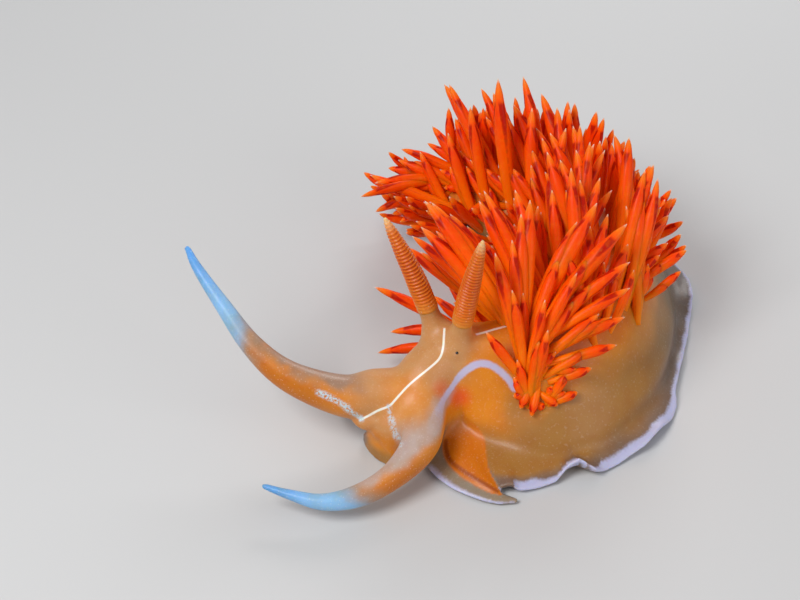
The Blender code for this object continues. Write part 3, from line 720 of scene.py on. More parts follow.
def paint_arms(points, at, tint, pale):
    """Tentacles, foot corners and the fold. Returns the tint, the pale edges and where the white speckles are."""
    speckle = np.zeros(len(points))
    for name, route in ARMS.items():
        along, gap = route.nearest(points)
        row = route.rows_at(along)
        share = along / route.length
        size = np.maximum(row[:, 3], row[:, 4])
        reach = (1.22, 1.02) if name.startswith("corner") else (1.6, 1.15)
        near = smooth(*reach, gap / size) * smooth(0.10, 0.24, share)
        if name.startswith("tentacle"):
            tint = paint_tentacle(name, tint, points, row, share, near, at.fine)
            speckle = np.maximum(speckle, near * 0.7)
            pale *= 1 - near
        elif name.startswith("corner"):
            on_edge = near * smooth(1.3, 0.9, at.height)
            tint = blend(tint, TRANSLUCENT, on_edge * 0.85)
            pale *= 1 - on_edge
            pale = np.maximum(pale, on_edge * smooth(0.62, 0.98, gap / row[:, 3]) * smooth(0.25, 0.4, share))
        else:
            on_fold = smooth(1.16, 1.02, gap / row[:, 3]) * smooth(0.0, 0.3, share)
            tint = blend(tint, FOLD_ORANGE, on_fold * smooth(3.6, 2.4, at.height))
            pale *= 1 - on_fold
            beside = smooth(2.6, 2.1, gap / row[:, 3]) * smooth(0.0, 0.3, share) * smooth(0.98, 0.9, share)
            pale *= 1 - (points[:, 0] > row[:, 0]) * beside
    return tint, pale, speckle


def paint_skin(skin, points):
    """Markings of the flesh as numbers on the points of the skin."""
    mesh = skin.data
    tree = BVHTree.FromObject(skin, bpy.context.evaluated_depsgraph_get())
    at = Places(points)

    def along_pixels(pixels):
        return line_distance(points, cast_line(tree, pixels))

    tint, pale, speckle = paint_arms(points, at, paint_body(tree, points, at), pale_rim(at))
    stripe_gap, _, _ = along_pixels(STRIPE)
    tint = blend(tint, PINK_WHITE, smooth(1.15, 0.35, stripe_gap + 0.4 * at.fine) * 0.85)
    tint = paint_spots(tint, tree, points, RED_SPOTS, RED_SPOT, 0.1)
    fold_gap, _, _ = along_pixels(FOLD_EDGE)
    tint = blend(tint, BROWN_ORANGE, smooth(0.26, 0.08, fold_gap) * 0.85)

    band_gap, _, share = along_pixels(BAND)
    width = 0.25 + 0.60 * smooth(0.66, 1.0, share)
    band = smooth(width + 0.22, width - 0.14, band_gap + 0.06 * at.fine) * smooth(1.0, 0.60, share)
    mottle = np.zeros(len(points))
    for pixels, outer, inner, strength in SPECKLED:
        mottle_gap, _, _ = along_pixels(pixels)
        mottle = np.maximum(mottle, smooth(outer, inner, mottle_gap + 0.15 * at.fine) * strength)

    gap = np.full(len(points), 1e9)
    signed = np.zeros(len(points))
    for line in LINES:
        line_gap, line_signed, _ = along_pixels(line)
        nearer = line_gap < gap
        gap[nearer] = line_gap[nearer]
        signed[nearer] = line_signed[nearer]
    put(mesh, "tint", tint)
    put(mesh, "pale", np.maximum(pale, band))
    put(mesh, "line", signed)
    put(mesh, "near", smooth(0.9, 0.2, gap))
    put(mesh, "mottle", mottle)
    put(mesh, "speckle", np.maximum(speckle, smooth(14, 8, at.station) * 0.3))
    return tree


class Graph:
    """A material's nodes, made and joined by short calls."""

    def __init__(self, name):
        self.material = bpy.data.materials.new(name)
        self.material.use_nodes = True
        self.nodes = self.material.node_tree.nodes
        self.links = self.material.node_tree.links
        self.shader = self.nodes["Principled BSDF"]

    def make(self, kind, **settings):
        made = self.nodes.new("ShaderNode" + kind)
        for key, value in settings.items():
            setattr(made, key, value)
        return made

    def feed(self, socket, value):
        if isinstance(value, bpy.types.NodeSocket):
            self.links.new(value, socket)
        else:
            socket.default_value = value

    def number(self, name):
        return self.make("Attribute", attribute_name=name).outputs["Fac"]

    def colour(self, name):
        return self.make("Attribute", attribute_name=name).outputs["Color"]

    def math(self, operation, a, b=0.0):
        made = self.make("Math", operation=operation)
        self.feed(made.inputs[0], a)
        self.feed(made.inputs[1], b)
        return made.outputs[0]

    def times(self, a, b):
        return self.math("MULTIPLY", a, b)

    def plus(self, a, b):
        return self.math("ADD", a, b)

    def minus(self, a, b):
        return self.math("SUBTRACT", a, b)

    def step(self, value, low, high):
        """0 below low, 1 above high, or the other way round."""
        made = self.make("MapRange", interpolation_type="SMOOTHSTEP")
        self.feed(made.inputs["Value"], value)
        swap = low > high
        made.inputs["From Min"].default_value = min(low, high)
        made.inputs["From Max"].default_value = max(low, high)
        made.inputs["To Min"].default_value = 1.0 if swap else 0.0
        made.inputs["To Max"].default_value = 0.0 if swap else 1.0
        return made.outputs["Result"]

    def mix(self, weight, a, b, mode="MIX"):
        made = self.make("Mix", data_type="RGBA", blend_type=mode)
        self.feed(made.inputs["Factor"], weight)
        for socket, value in ((made.inputs[6], a), (made.inputs[7], b)):
            self.feed(socket, value if isinstance(value, bpy.types.NodeSocket) else (*linear(value), 1.0))
        return made.outputs[2]

    def ramp(self, value, stops):
        made = self.make("ValToRGB")
        self.feed(made.inputs["Fac"], value)
        elements = made.color_ramp.elements
        elements[0].position, elements[0].color = stops[0][0], (*linear(stops[0][1]), 1)
        elements[1].position, elements[1].color = stops[-1][0], (*linear(stops[-1][1]), 1)
        for place, colour in stops[1:-1]:
            elements.new(place).color = (*linear(colour), 1)
        return made.outputs["Color"]

    def texture(self, kind, size):
        """A pattern on the object whose marks are about so many millimetres across."""
        made = self.make("Tex" + kind)
        self.links.new(self.make("TexCoord").outputs["Object"], made.inputs["Vector"])
        made.inputs["Scale"].default_value = 1 / (size * MM)
        return made

    def noise(self, size, detail=3.0):
        made = self.texture("Noise", size)
        made.inputs["Detail"].default_value = detail
        made.inputs["Roughness"].default_value = 0.55
        return made.outputs["Fac"]

    def dots(self, size):
        """Distance from the middle of the nearest cell."""
        return self.texture("Voronoi", size).outputs["Distance"]

    def bump(self, height, depth, strength=0.5):
        made = self.make("Bump")
        made.inputs["Strength"].default_value = strength
        made.inputs["Distance"].default_value = depth * MM
        self.links.new(height, made.inputs["Height"])
        self.links.new(made.outputs["Normal"], self.shader.inputs["Normal"])

    def shade(self, tint, **values):
        self.feed(self.shader.inputs["Base Color"], tint)
        for key, value in values.items():
            self.shader.inputs[key.replace("_", " ").title().replace("Ior", "IOR")].default_value = value


def flesh_material():
    graph = Graph("flesh")
    cloud = graph.noise(1.6, 5.0)
    grain = graph.noise(0.22, 3.0)
    tint = graph.colour("tint")
    tint = graph.mix(graph.step(cloud, 0.35, 0.75), tint, (0.98, 0.93, 0.86), "MULTIPLY")
    lights = graph.times(graph.step(grain, 0.56, 0.74), 0.09)
    tint = graph.mix(lights, tint, WHITE)
    pale = graph.plus(graph.number("pale"), graph.times(graph.minus(grain, 0.5), 0.5))
    tint = graph.mix(graph.times(graph.step(pale, 0.10, 0.95), 0.9), tint, LAVENDER)
    dots = graph.times(graph.step(graph.dots(0.26), 0.26, 0.10), graph.number("speckle"))
    tint = graph.mix(graph.times(dots, 0.24), tint, WHITE)
    across = graph.math("ABSOLUTE", graph.number("line"))
    line = graph.times(graph.step(across, 0.12, 0.05), graph.step(graph.number("near"), 0.15, 0.5))
    tint = graph.mix(line, tint, WHITE)
    mottle = graph.times(graph.number("mottle"), graph.step(graph.noise(0.16, 2.0), 0.35, 0.55))
    tint = graph.mix(mottle, tint, MOTTLE_WHITE)
    graph.shade(
        tint,
        subsurface_weight=0.55,
        subsurface_radius=(1.0, 0.6, 0.35),
        subsurface_scale=0.7 * MM,
        roughness=0.44,
        specular_ior_level=0.35,
        coat_weight=0.12,
        coat_roughness=0.18,
    )
    graph.bump(grain, 0.035)
    return graph.material


def rhinophore(side):
    """The ringed part of a rhinophore, with real lamellae."""
    route = Route(RHINOPHORES[side], 3, 40)
    start = STALK_LENGTH - COAT_OVERLAP
    rings, edge, share_at = [], [], []
    for i in range(LAMELLAE):
        for part, swell, pale in LAMELLA:
            share = (i + part) / LAMELLAE
            grown = smooth(*LAMELLA_START, share)
            radius = np.interp(share, *zip(*RHINOPHORE_RADII)) * (1 + swell * grown)
            rings.append(round_ring(route, start + share * (route.length - start), radius, RHINOPHORE_SIDES))
            edge.append(pale * grown)
            share_at.append(share)
    rings.append(round_ring(route, route.length, RHINOPHORE_RADII[-1][1], RHINOPHORE_SIDES))
    edge.append(0.5)
    share_at.append(1.0)
    obj = joined("rhinophore_coat_" + side, [lofted(rings)])
    put(obj.data, "edge", np.repeat(edge, RHINOPHORE_SIDES))
    put(obj.data, "share", np.repeat(share_at, RHINOPHORE_SIDES))
    obj.data.shade_smooth()
    return obj


def rhinophore_material():
    graph = Graph("rhinophore_rings")
    tint = graph.ramp(
        graph.number("share"),
        (
            (0.0, (0.88, 0.55, 0.20)),
            (0.15, (0.86, 0.42, 0.05)),
            (0.50, (0.80, 0.32, 0.02)),
            (0.85, (0.84, 0.40, 0.07)),
            (1.0, (0.92, 0.76, 0.54)),
        ),
    )
    pale = graph.times(graph.step(graph.number("edge"), 0.3, 1.0), 0.26)
    tint = graph.mix(pale, tint, (0.94, 0.58, 0.16))
    dots = graph.times(graph.step(graph.dots(0.30), 0.22, 0.08), 0.22)
    tint = graph.mix(dots, tint, WHITE)
    graph.shade(
        tint,
        subsurface_weight=0.5,
        subsurface_radius=(1.0, 0.45, 0.2),
        subsurface_scale=0.5 * MM,
        roughness=0.40,
        specular_ior_level=0.25,
        coat_weight=0.08,
        coat_roughness=0.15,
    )
    graph.bump(graph.noise(0.12), 0.015)
    return graph.material


# Clusters of cerata whose tips the photograph shows: side, distance along the midline, half the cluster's length,
# the lowest and highest share of the section's side, and the tips' pixels arch by arch, from the head's end on.
SHOWN = (
    (1, 13.0, 1.5, 0.34, 0.96, (
        ((514, 377), (486, 332), (495, 253), (512, 240), (521, 214), (530, 200), (577, 222), (597, 203),
         (627, 224), (630, 262), (630, 288), (625, 317), (617, 345), (592, 368), (578, 392)),
        ((517, 360), (512, 290), (523, 293), (559, 258), (593, 255), (594, 283), (612, 317), (578, 370),
         (566, 392)),
        ((539, 339), (545, 300), (577, 273), (574, 301), (599, 314), (591, 348), (568, 372)),
        ((548, 330), (556, 352), (545, 362), (552, 386)),
    )),
    (1, 12.8, 0.6, 0.42, 0.52, (((513, 396), (520, 409), (531, 417), (558, 406)), ((545, 408),))),
    (1, 17.6, 1.5, 0.62, 0.96, (
        ((562, 246), (590, 226), (608, 214), (612, 236), (628, 244), (634, 270)),
        ((604, 262), (616, 268)),
    )),
    (1, 21.8, 2.0, 0.54, 0.96, (
        ((626, 206), (643, 192), (645, 170), (654, 164), (661, 207), (669, 215), (668, 243), (687, 250),
         (681, 271)),
        ((636, 222), (658, 178), (652, 236), (660, 255), (666, 262), (670, 282)),
        ((648, 264), (652, 274)),
    )),
    (1, 27.0, 1.8, 0.66, 0.96, (((614, 134), (629, 137), (631, 160), (641, 184), (650, 190)),)),
    (-1, 9.6, 0.8, 0.2, 0.5, (((377, 353), (390, 332), (374, 287)),)),
    (-1, 11.6, 1.2, 0.5, 0.96, (
        ((402, 246), (412, 236), (421, 227), (425, 201), (432, 203), (450, 214), (452, 232)),
        ((420, 252), (436, 231), (444, 252), (462, 240)),
    )),
    (-1, 15.0, 1.8, 0.5, 0.96, (
        ((467, 226), (479, 201), (484, 191), (495, 206), (515, 190), (538, 206)),
        ((482, 240), (500, 232), (514, 224)),
    )),
    (-1, 19.0, 1.8, 0.5, 0.96, (((541, 212), (552, 190), (571, 168), (580, 180), (600, 178), (612, 190)),)),
    (-1, 23.6, 1.9, 0.44, 0.96, (
        ((605, 150), (590, 142), (576, 150), (560, 160), (547, 152), (552, 163)),
        ((586, 196), (566, 190), (552, 186)),
    )),
    (-1, 28.0, 1.8, 0.44, 0.96, (
        ((594, 144), (580, 125), (573, 126), (550, 133), (542, 138), (531, 165)),
        ((562, 158), (545, 172), (531, 178)),
    )),
    (-1, 32.0, 1.8, 0.44, 0.96, (
        ((566, 128), (557, 107), (541, 93), (536, 128), (528, 133), (507, 161)),
        ((532, 150), (512, 168)),
    )),
    (-1, 35.6, 1.6, 0.44, 0.96, (
        ((532, 108), (523, 76), (513, 104), (507, 118), (500, 150)),
        ((498, 176), (484, 168)),
    )),
    (-1, 38.6, 1.5, 0.42, 0.96, (
        ((498, 78), (493, 92), (481, 88), (486, 117), (478, 140), (488, 186)),
        ((470, 160), (482, 204)),
    )),
    (-1, 41.2, 1.4, 0.42, 0.96, (
        ((470, 106), (449, 84), (444, 84), (460, 110), (455, 118), (448, 133)),
        ((466, 166), (460, 151), (468, 196)),
        ((466, 216),),
    )),
    (-1, 43.2, 1.4, 0.44, 0.96, (
        ((452, 140), (432, 126), (427, 143), (401, 149), (413, 161), (370, 175)),
        ((450, 167), (440, 170), (444, 188), (450, 214)),
        ((462, 192), (456, 212)),
    )),
    (-1, 45.2, 1.3, 0.4, 0.96, (
        ((420, 152), (398, 160), (375, 183), (360, 197), (375, 212), (392, 214)),
        ((425, 178), (408, 188), (428, 208), (400, 222)),
        ((432, 196), (418, 216), (436, 222)),
    )),
    (-1, 47.6, 1.0, 0.36, 0.96, (((404, 156), (388, 168), (382, 190), (386, 204), (405, 214)), ((400, 200),))),
)
TILTS = sorted(range(-60, 61, 4), key=abs)  # degrees to or from the camera that are tried for a tip, in turn
BOW = 0.16  # how far a ceras bends from the way its root stands, as a share of its length
CLEAR = 0.20  # how steeply its tip must leave the skin
# The rest, on the sides that the photograph hides: distance along the midline, half the group's length, how many
# stand in each arch from the outer one in, the longest, the share of that which the lowest reach, the lean towards
# the tail, how far they fan out, the lowest and highest share, and the splay in degrees of upper and lowest ones.
REST_LEFT = (
    (26.6, 1.6, (4, 3), 5.8, 0.60, 0.10, 0.30, 0.42, 0.84, 24, 66),
    (30.6, 1.7, (7, 5, 3), 7.2, 0.55, 0.15, 0.45, 0.38, 0.96, 14, 66),
    (35.0, 1.6, (8, 6, 4), 8.0, 0.55, 0.25, 0.40, 0.36, 0.96, 14, 66),
    (39.2, 1.5, (7, 5, 3), 7.4, 0.55, 0.30, 0.35, 0.36, 0.96, 16, 64),
    (43.0, 1.3, (7, 5, 3), 6.6, 0.55, 0.35, 0.30, 0.36, 0.96, 18, 62),
    (46.4, 1.2, (5, 3), 5.6, 0.60, 0.40, 0.20, 0.36, 0.96, 20, 60),
)
REST_RIGHT = (
    (10.8, 1.0, (4,), 6.6, 0.70, -0.50, 0.40, 0.24, 0.50, 60, 86),
    (14.8, 1.8, (7, 4), 7.6, 0.70, -0.30, 0.40, 0.24, 0.58, 44, 84),
    (19.2, 1.8, (7, 4), 7.4, 0.70, -0.20, 0.40, 0.24, 0.58, 40, 80),
    (24.0, 1.6, (5, 3), 6.0, 0.70, -0.10, 0.35, 0.26, 0.54, 30, 74),
    (28.6, 1.5, (5, 3), 5.8, 0.70, 0.15, 0.30, 0.26, 0.54, 30, 74),
    (33.4, 1.5, (5, 3), 6.0, 0.70, 0.35, 0.30, 0.24, 0.54, 34, 76),
    (37.8, 1.4, (5, 3), 6.0, 0.75, 0.45, 0.30, 0.24, 0.54, 40, 80),
    (42.0, 1.3, (6, 4), 6.0, 0.80, 0.50, 0.30, 0.24, 0.52, 44, 82),
    (45.6, 1.1, (6, 3), 5.6, 0.85, 0.45, 0.30, 0.24, 0.50, 50, 84),
    (49.0, 0.8, (3,), 4.6, 0.85, 0.40, 0.20, 0.26, 0.80, 50, 86),
)
CERAS_RADIUS = 0.61
LONGEST = 12.0
CERAS_SIDES = 16
CERAS_RINGS = 30
# share of the way out, share of the radius
CERAS_SHAPE = (
    (0.0, 0.66), (0.20, 0.82), (0.48, 0.97), (0.66, 1.0), (0.75, 0.90), (0.805, 0.74), (0.84, 0.62),
    (0.875, 0.58), (0.915, 0.47), (0.955, 0.27), (0.985, 0.11), (1.0, 0.02),
)
CERAS_WIDTH = (0.52, 0.48)  # share of the radius that each has, and that the longest has beyond it
CERAS_DEPTH = 0.5  # how deep a root lies under the skin
ARCH_STEP = 0.12  # how much lower on the side each arch stands than the one outside it, and how much smaller
ARCH_SHRINK = 0.16
ARCH_LENGTH_STEP = 0.05
ARCH_FEET = 0.4  # how far from its middle an arch's feet stand, as a share of half its length
LEAN_LOW = 1.25  # lean at the foot of an arch, and how much less it is at its top
LEAN_DROP = 0.6
FAN_LOW, FAN_DROP = 1.3, 0.8  # the same for the fanning out
TURN_JITTER, STATION_JITTER, SHARE_JITTER, SPLAY_JITTER, WAY_JITTER = 0.2, 0.15, 0.03, 6, 0.12
# Least and greatest factors drawn for a ceras's length, width and flatness, and what is added to its deeper red,
# which is partly painted shade.
LENGTHS, WIDTHS, FLATNESS, DEEP_RED_AND_SHADE_JITTER = (0.86, 1.1), (0.9, 1.1), (0.82, 1.0), (-0.15, 0.15)
UPWARD_BEND, LEAN_BEND, BEND_SHARE = 0.25, 0.3, 0.6
SLOPE_STEP = 0.04  # share of the side over which its slope is taken
HIGHEST = 19.9  # no tip stands higher
DEEP_RED_AND_SHADE = {1: 0.28, -1: 0.72}  # how deep a red the cerata of each side are, from 0 for orange: the far side's deeper, darker red is painted shade
# how much deeper red the rear's cerata get: partly their own colour, partly painted shade
DEEP_RED_AND_SHADE_BACK = 0.3
SEED = 14


def surface_point(station, side, share):
    """A point on the trunk's side, and the ways towards the tail and outwards there."""
    rows = catmull(trunk_rows(station, side, FOOT_TOP), 6)
    index = share * (len(rows) - 1)
    offset = np.interp(index, range(len(rows)), rows[:, 0])
    height = np.interp(index, range(len(rows)), rows[:, 1])
    tail_ward, left = body_ways(station)
    point = np.array([*BODY.at(station)[:2], 0.0]) + left * side * offset + np.array([0, 0, height])
    return point, tail_ward, left * side


def on_arch(turn, arch, middle, half, low, high):
    """Station and share of the section's side at a turn along an arch, and how far along and up it that is."""
    rise = math.sin(math.pi * turn)
    along = -math.cos(math.pi * turn)
    station = middle + half * (1 - ARCH_SHRINK * arch) * along * (ARCH_FEET + (1 - ARCH_FEET) * rise)
    return station, low + (high - ARCH_STEP * arch - low) * rise, along, rise


def rest_lines(draw, side, group):
    """The middle lines of the cerata of one group, laid out by its numbers."""
    middle, half, counts, longest, least, lean, fan, low, high, upright, flat = group
    for arch, count in enumerate(counts):
        for i in range(count):
            turn = (i + 0.5) / count + draw.uniform(-TURN_JITTER, TURN_JITTER) / count
            station, share, along, rise = on_arch(turn, arch, middle, half, low, high)
            station += draw.uniform(-STATION_JITTER, STATION_JITTER)
            share += draw.uniform(-SHARE_JITTER, SHARE_JITTER)
            splay = upright + (flat - upright) * (1 - rise) ** 2 + draw.uniform(-SPLAY_JITTER, SPLAY_JITTER)
            tail_lean = lean * (LEAN_LOW - rise * LEAN_DROP) + fan * along * (FAN_LOW - rise * FAN_DROP)
            part = (least + (1 - least) * rise**0.6) * (1 - ARCH_LENGTH_STEP * arch)
            length = longest * part * draw.uniform(*LENGTHS)
            yield station, length, ceras_line(draw, station, side, share, length, tail_lean, math.radians(splay))


def ceras_line(draw, station, side, share, length, lean, splay):
    """The middle line of one ceras, from under the skin to its tip."""
    root, tail_ward, outward = surface_point(station, side, share)
    upwards = np.array([0.0, 0.0, 1.0])
    jitter = np.array([draw.uniform(-1, 1) for _ in range(3)]) * WAY_JITTER
    start = unit(outward * math.sin(splay) + upwards * math.cos(splay) + tail_ward * lean + jitter)
    end = unit(start + upwards * UPWARD_BEND + tail_ward * lean * LEAN_BEND)
    u = np.linspace(-CERAS_DEPTH / length, 1, CERAS_RINGS)
    line = root + np.outer(u, start) * length + np.outer(np.maximum(u, 0) ** 2, end - start) * length * BEND_SHARE
    return line, u


def shown_lines(side, middle, half, low, high, arches):
    """The middle lines of the cerata of one cluster, from their roots on the trunk to their tips' pixels."""
    for arch, pixels in enumerate(arches):
        for i, pixel in enumerate(pixels):
            station, share, _, _ = on_arch((i + 0.5) / len(pixels), arch, middle, half, low, high)
            root, _, _ = surface_point(station, side, share)
            above, below = (surface_point(station, side, share + step)[0] for step in (SLOPE_STEP, -SLOPE_STEP))
            normal = unit(np.cross([*BODY.along(station), 0.0], above - below)) * side
            start, way = pixel_ray(pixel)
            beside = start + way * ((root - start) @ way)
            for tilt in TILTS:
                tip = beside - way * np.linalg.norm(beside - root) * math.tan(math.radians(tilt))
                if unit(tip - root) @ normal > CLEAR:
                    break
            length = np.linalg.norm(tip - root)
            u = np.linspace(-CERAS_DEPTH / length, 1, CERAS_RINGS)
            bend = np.where(u > 0, u * (1 - u), u) * BOW * length
            yield station, length, (root + np.outer(u, tip - root) + np.outer(bend, normal), u)


def ceras_rings(line, u, width, flat, twist):
    """Sections along a ceras, carried along without twisting."""
    radii = np.interp(u, *zip(*CERAS_SHAPE)) * width
    across = unit(np.cross(line[1] - line[0], (0.3, 1.0, 0.1)))
    angles = np.arange(CERAS_SIDES) * 2 * math.pi / CERAS_SIDES + twist
    rings = []
    for i in range(len(line)):
        course = unit(line[min(i + 1, len(line) - 1)] - line[max(i - 1, 0)])
        across = unit(across - course * (across @ course))
        around = np.cross(across, course)
        rings.append([line[i] + radii[i] * (across * math.cos(a) + around * math.sin(a) * flat) for a in angles])
    return rings


def make_cerata(name, start, end):
    """All cerata whose group stands between two stations, as one mesh with a strip of OFBake for each."""
    points, faces = [], []
    marks = {"out": [], "around": [], "heat": [], "vary": []}
    draw = random.Random(SEED + int(start))
    cerata = []
    for side, groups in ((1, REST_LEFT), (-1, REST_RIGHT)):
        for group in groups:
            if start < group[0] < end:
                cerata += [(side, *ceras) for ceras in rest_lines(draw, side, group)]
    for side, middle, *cluster in SHOWN:
        if start < middle < end:
            cerata += [(side, *ceras) for ceras in shown_lines(side, middle, *cluster)]
    for side, station, length, (line, u) in cerata:
        root = line[0]
        line = root + (line - root) * min(1.0, (HIGHEST - root[2]) / max(line[-1][2] - root[2], 0.1))
        width = CERAS_RADIUS * (CERAS_WIDTH[0] + CERAS_WIDTH[1] * length / LONGEST) * draw.uniform(*WIDTHS)
        rings = ceras_rings(line, u, width, draw.uniform(*FLATNESS), draw.uniform(0, 6.3))
        faces += loft_faces(len(rings), CERAS_SIDES, len(points))
        points += [p for ring in rings for p in ring]
        marks["out"].append(np.repeat(u, CERAS_SIDES))
        marks["around"].append(np.cos(np.tile(np.arange(CERAS_SIDES) * 2 * math.pi / CERAS_SIDES, len(u))))
        # deeper red on the far side and towards the rear: partly the cerata's own colour, partly painted shade
        red_and_shade_amount = DEEP_RED_AND_SHADE[side] + DEEP_RED_AND_SHADE_BACK * smooth(20, 36, station) + draw.uniform(*DEEP_RED_AND_SHADE_JITTER)
        marks["heat"].append(np.full(len(u) * CERAS_SIDES, red_and_shade_amount))
        marks["vary"].append(np.full(len(u) * CERAS_SIDES, draw.random()))
    obj = new_object(name, points, faces)
    for mark, values in marks.items():
        put(obj.data, mark, np.concatenate(values))
    add_strips(obj, len(cerata))
    obj.data.shade_smooth()
    return obj


def add_strips(obj, count):
    """A UV map with a strip of its own for each ceras, its length upwards and its girth across."""
    layer = obj.data.uv_layers.new(name="OFBake")
    columns = math.ceil(math.sqrt(count * 3))
    lines = math.ceil(count / columns)
    each = CERAS_RINGS * CERAS_SIDES
    for face in obj.data.polygons:
        sides = [obj.data.loops[i].vertex_index % CERAS_SIDES for i in face.loop_indices]
        wraps = len(sides) == 4 and max(sides) - min(sides) > 1
        for i, side in zip(face.loop_indices, sides):
            vertex = obj.data.loops[i].vertex_index
            strip = vertex // each
            ring = vertex % each // CERAS_SIDES
            girth = CERAS_SIDES if wraps and side == 0 else side
            u = (strip % columns + 0.08 + 0.84 * girth / CERAS_SIDES) / columns
            v = (strip // columns + 0.04 + 0.92 * ring / (CERAS_RINGS - 1)) / lines
            layer.data[i].uv = (u, v)


# The dark gland in a ceras, by shares of the way out: its least start, how much that varies, the end of its
# streaks, and how wide these grow.
GLAND = (0.46, 0.26, 0.83, 1.55)


def cerata_material():
    graph = Graph("cerata_flesh")
    out = graph.number("out")
    heat = graph.number("heat")
    vary = graph.number("vary")
    cool = graph.ramp(
        out,
        (
            (0.0, (1.0, 0.50, 0.03)),
            (0.22, (1.0, 0.46, 0.01)),
            (0.52, (0.98, 0.36, 0.0)),
            (0.78, (0.95, 0.26, 0.0)),
            (0.86, (0.99, 0.34, 0.01)),
            (0.92, (1.0, 0.46, 0.07)),
            (0.965, (0.97, 0.50, 0.20)),
            (1.0, (0.88, 0.82, 0.78)),
        ),
    )
    # the deeper, darker red: partly the cerata's own colour, partly painted shade on the far side and the rear
    deeper_red_and_shade = graph.ramp(
        out,
        (
            (0.0, (0.95, 0.29, 0.01)),
            (0.25, (0.91, 0.19, 0.0)),
            (0.55, (0.84, 0.11, 0.0)),
            (0.78, (0.77, 0.07, 0.0)),
            (0.86, (0.93, 0.18, 0.0)),
            (0.92, (0.98, 0.30, 0.04)),
            (0.965, (0.94, 0.42, 0.18)),
            (1.0, (0.84, 0.76, 0.74)),
        ),
    )
    grain = graph.noise(0.5, 4.0)
    tint = graph.mix(graph.step(heat, 0.0, 1.0), cool, deeper_red_and_shade)
    # the dark gland seen through the flesh: three streaks about the ceras, which widen below the bright tip
    least, varies, end, widest = GLAND
    c = graph.number("around")
    cube = graph.times(graph.times(c, graph.times(c, c)), 4.0)
    waves = graph.minus(cube, graph.times(c, 3.0))
    start = graph.plus(graph.times(vary, varies), least)
    rise = graph.math("DIVIDE", graph.minus(out, start), graph.minus(end, start))
    width = graph.times(graph.math("POWER", graph.math("MAXIMUM", rise, 0.0), 2.0), widest)
    inside = graph.plus(graph.minus(waves, 1.0), width)
    inside = graph.plus(inside, graph.times(graph.minus(grain, 0.5), 1.0))
    core = graph.times(graph.step(inside, -0.25, 0.45), graph.step(out, 0.86, 0.825))
    core = graph.times(core, graph.minus(0.90, graph.times(heat, 0.40)))
    tint = graph.mix(core, tint, GLAND_RED)
    glow = graph.times(graph.step(grain, 0.45, 0.8), 0.20)
    tint = graph.mix(glow, tint, (1.0, 0.60, 0.10))
    graph.shade(
        tint,
        subsurface_weight=0.5,
        subsurface_radius=(1.0, 0.40, 0.12),
        subsurface_scale=0.4 * MM,
        roughness=0.42,
        specular_ior_level=0.10,
        coat_weight=0.03,
        coat_roughness=0.15,
    )
    graph.bump(graph.noise(0.25), 0.02)
    return graph.material


def eye_places(tree):
    """The eye that the photograph shows, and its twin on the other side of the head."""
    place, normal = seen(tree, EYE_PIXEL)
    station = BODY.nearest(place[None])[0][0]
    across = body_ways(station)[1]
    middle = np.array([*BODY.at(station)[:2], 0.0])
    twin = place - 2 * across * ((place - middle) @ across)
    found, twin_normal, _, _ = tree.find_nearest(Vector(to_row(twin)))
    sink = EYE_SINK * EYE_RADIUS
    return {"left": place - normal * sink, "right": from_row(found) - np.array(twin_normal) * sink}


def make_eye(side, place):
    points, faces = ball(place, [EYE_RADIUS] * 3, rings=12)
    eye = new_object("eye_bead_" + side, points, faces)
    eye.data.shade_smooth()
    return eye


def eye_material():
    graph = Graph("eye_black")
    tint = graph.mix(graph.noise(0.08), (0.010, 0.008, 0.008), (0.05, 0.03, 0.03))
    graph.shade(tint, roughness=0.08, coat_weight=0.6, coat_roughness=0.03)
    return graph.material


def dress(obj, material, slot, *nodes):
    """Gives a piece its material and its place in the model."""
    obj.data.materials.clear()
    obj.data.materials.append(material)
    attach(obj, "root")
    if nodes:
        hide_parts(*nodes)


FLOOR_HALF = 1.5  # metres
FLOOR_DROP = 0.02  # how far it lies under the foot


def make_floor():
    mesh = bpy.data.meshes.new("floor")
    corners = [(-1, -1), (1, -1), (1, 1), (-1, 1)]
    mesh.from_pydata([(x * FLOOR_HALF, y * FLOOR_HALF, -FLOOR_DROP * MM) for x, y in corners], [], [(0, 1, 2, 3)])
    floor = bpy.data.objects.new("floor", mesh)
    bpy.context.scene.collection.objects.link(floor)
    material = bpy.data.materials.new("floor")
    material.use_nodes = True
    shader = material.node_tree.nodes["Principled BSDF"]
    shader.inputs["Base Color"].default_value = (0.60, 0.60, 0.60, 1)
    shader.inputs["Roughness"].default_value = 0.75
    mesh.materials.append(material)


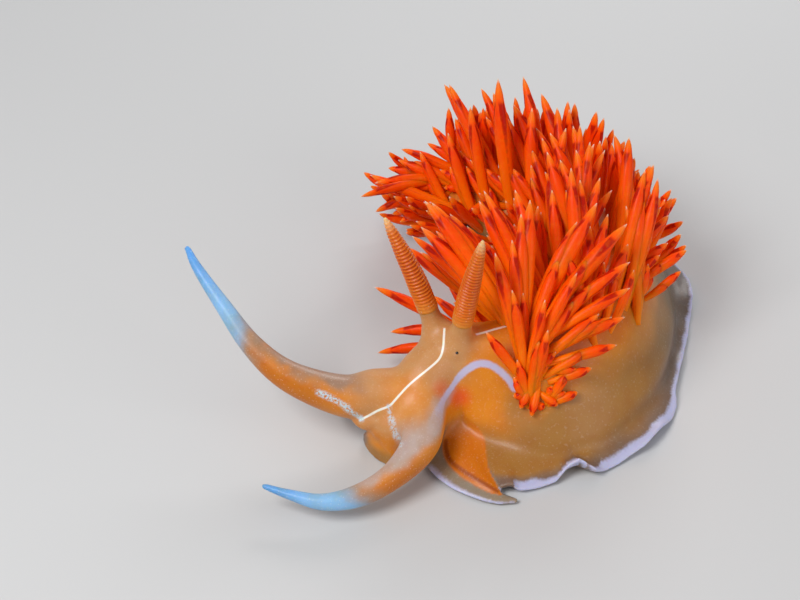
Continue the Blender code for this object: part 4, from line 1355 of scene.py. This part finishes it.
def add_light(name, place, aim, size, power, colour=(1, 1, 1)):
    data = bpy.data.lights.new(name, "AREA")
    data.shape = "DISK"
    data.size = size
    data.energy = power
    data.color = colour
    light = bpy.data.objects.new(name, data)
    light.location = place
    light.rotation_euler = (Vector(aim) - Vector(place)).to_track_quat("-Z", "Y").to_euler()
    bpy.context.scene.collection.objects.link(light)


def make_studio():
    bpy.context.scene.view_settings.view_transform = "Standard"
    aim = (0.0, 0.0, 0.008)
    add_light("key", (-0.10, -0.10, 0.17), aim, 0.10, 0.30)
    add_light("fill", (0.16, -0.12, 0.10), aim, 0.14, 0.10)
    add_light("back", (0.05, 0.17, 0.12), aim, 0.10, 0.16)
    world = bpy.data.worlds.new("studio")
    world.use_nodes = True
    background = world.node_tree.nodes["Background"]
    background.inputs["Color"].default_value = (0.97, 0.98, 1.0, 1)
    background.inputs["Strength"].default_value = 0.34
    bpy.context.scene.world = world


def make_camera():
    data = bpy.data.cameras.new("camera")
    data.lens = LENS
    data.sensor_width = SENSOR
    data.clip_start = 0.01
    camera = bpy.data.objects.new("camera", data)
    camera.location = to_row(np.array(CAMERA_AIM) + camera_ways()[2] * CAMERA_DISTANCE)
    camera.rotation_euler = (math.radians(90 - CAMERA_ELEVATION), 0, 0)
    bpy.context.scene.collection.objects.link(camera)
    bpy.context.scene.camera = camera


FLESH_NODES = sorted(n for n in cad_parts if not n.startswith(("eye", "rhinophore")))

make_camera()
make_studio()
make_floor()
skin, skin_points = make_skin()
skin_tree = paint_skin(skin, skin_points)
dress(skin, flesh_material(), "head_skin", *FLESH_NODES)
ring_material = rhinophore_material()
black = eye_material()
for side, place in eye_places(skin_tree).items():
    dress(rhinophore(side), ring_material, "rhinophore", "rhinophore_" + side)
    dress(make_eye(side, place), black, "eye", "eye_" + side)
flesh_of_cerata = cerata_material()
for name, first, last in (("cerata_front", 9, 21), ("cerata_middle", 21, 31), ("cerata_rear", 31, 51)):
    dress(make_cerata(name, first, last), flesh_of_cerata, "cerata")
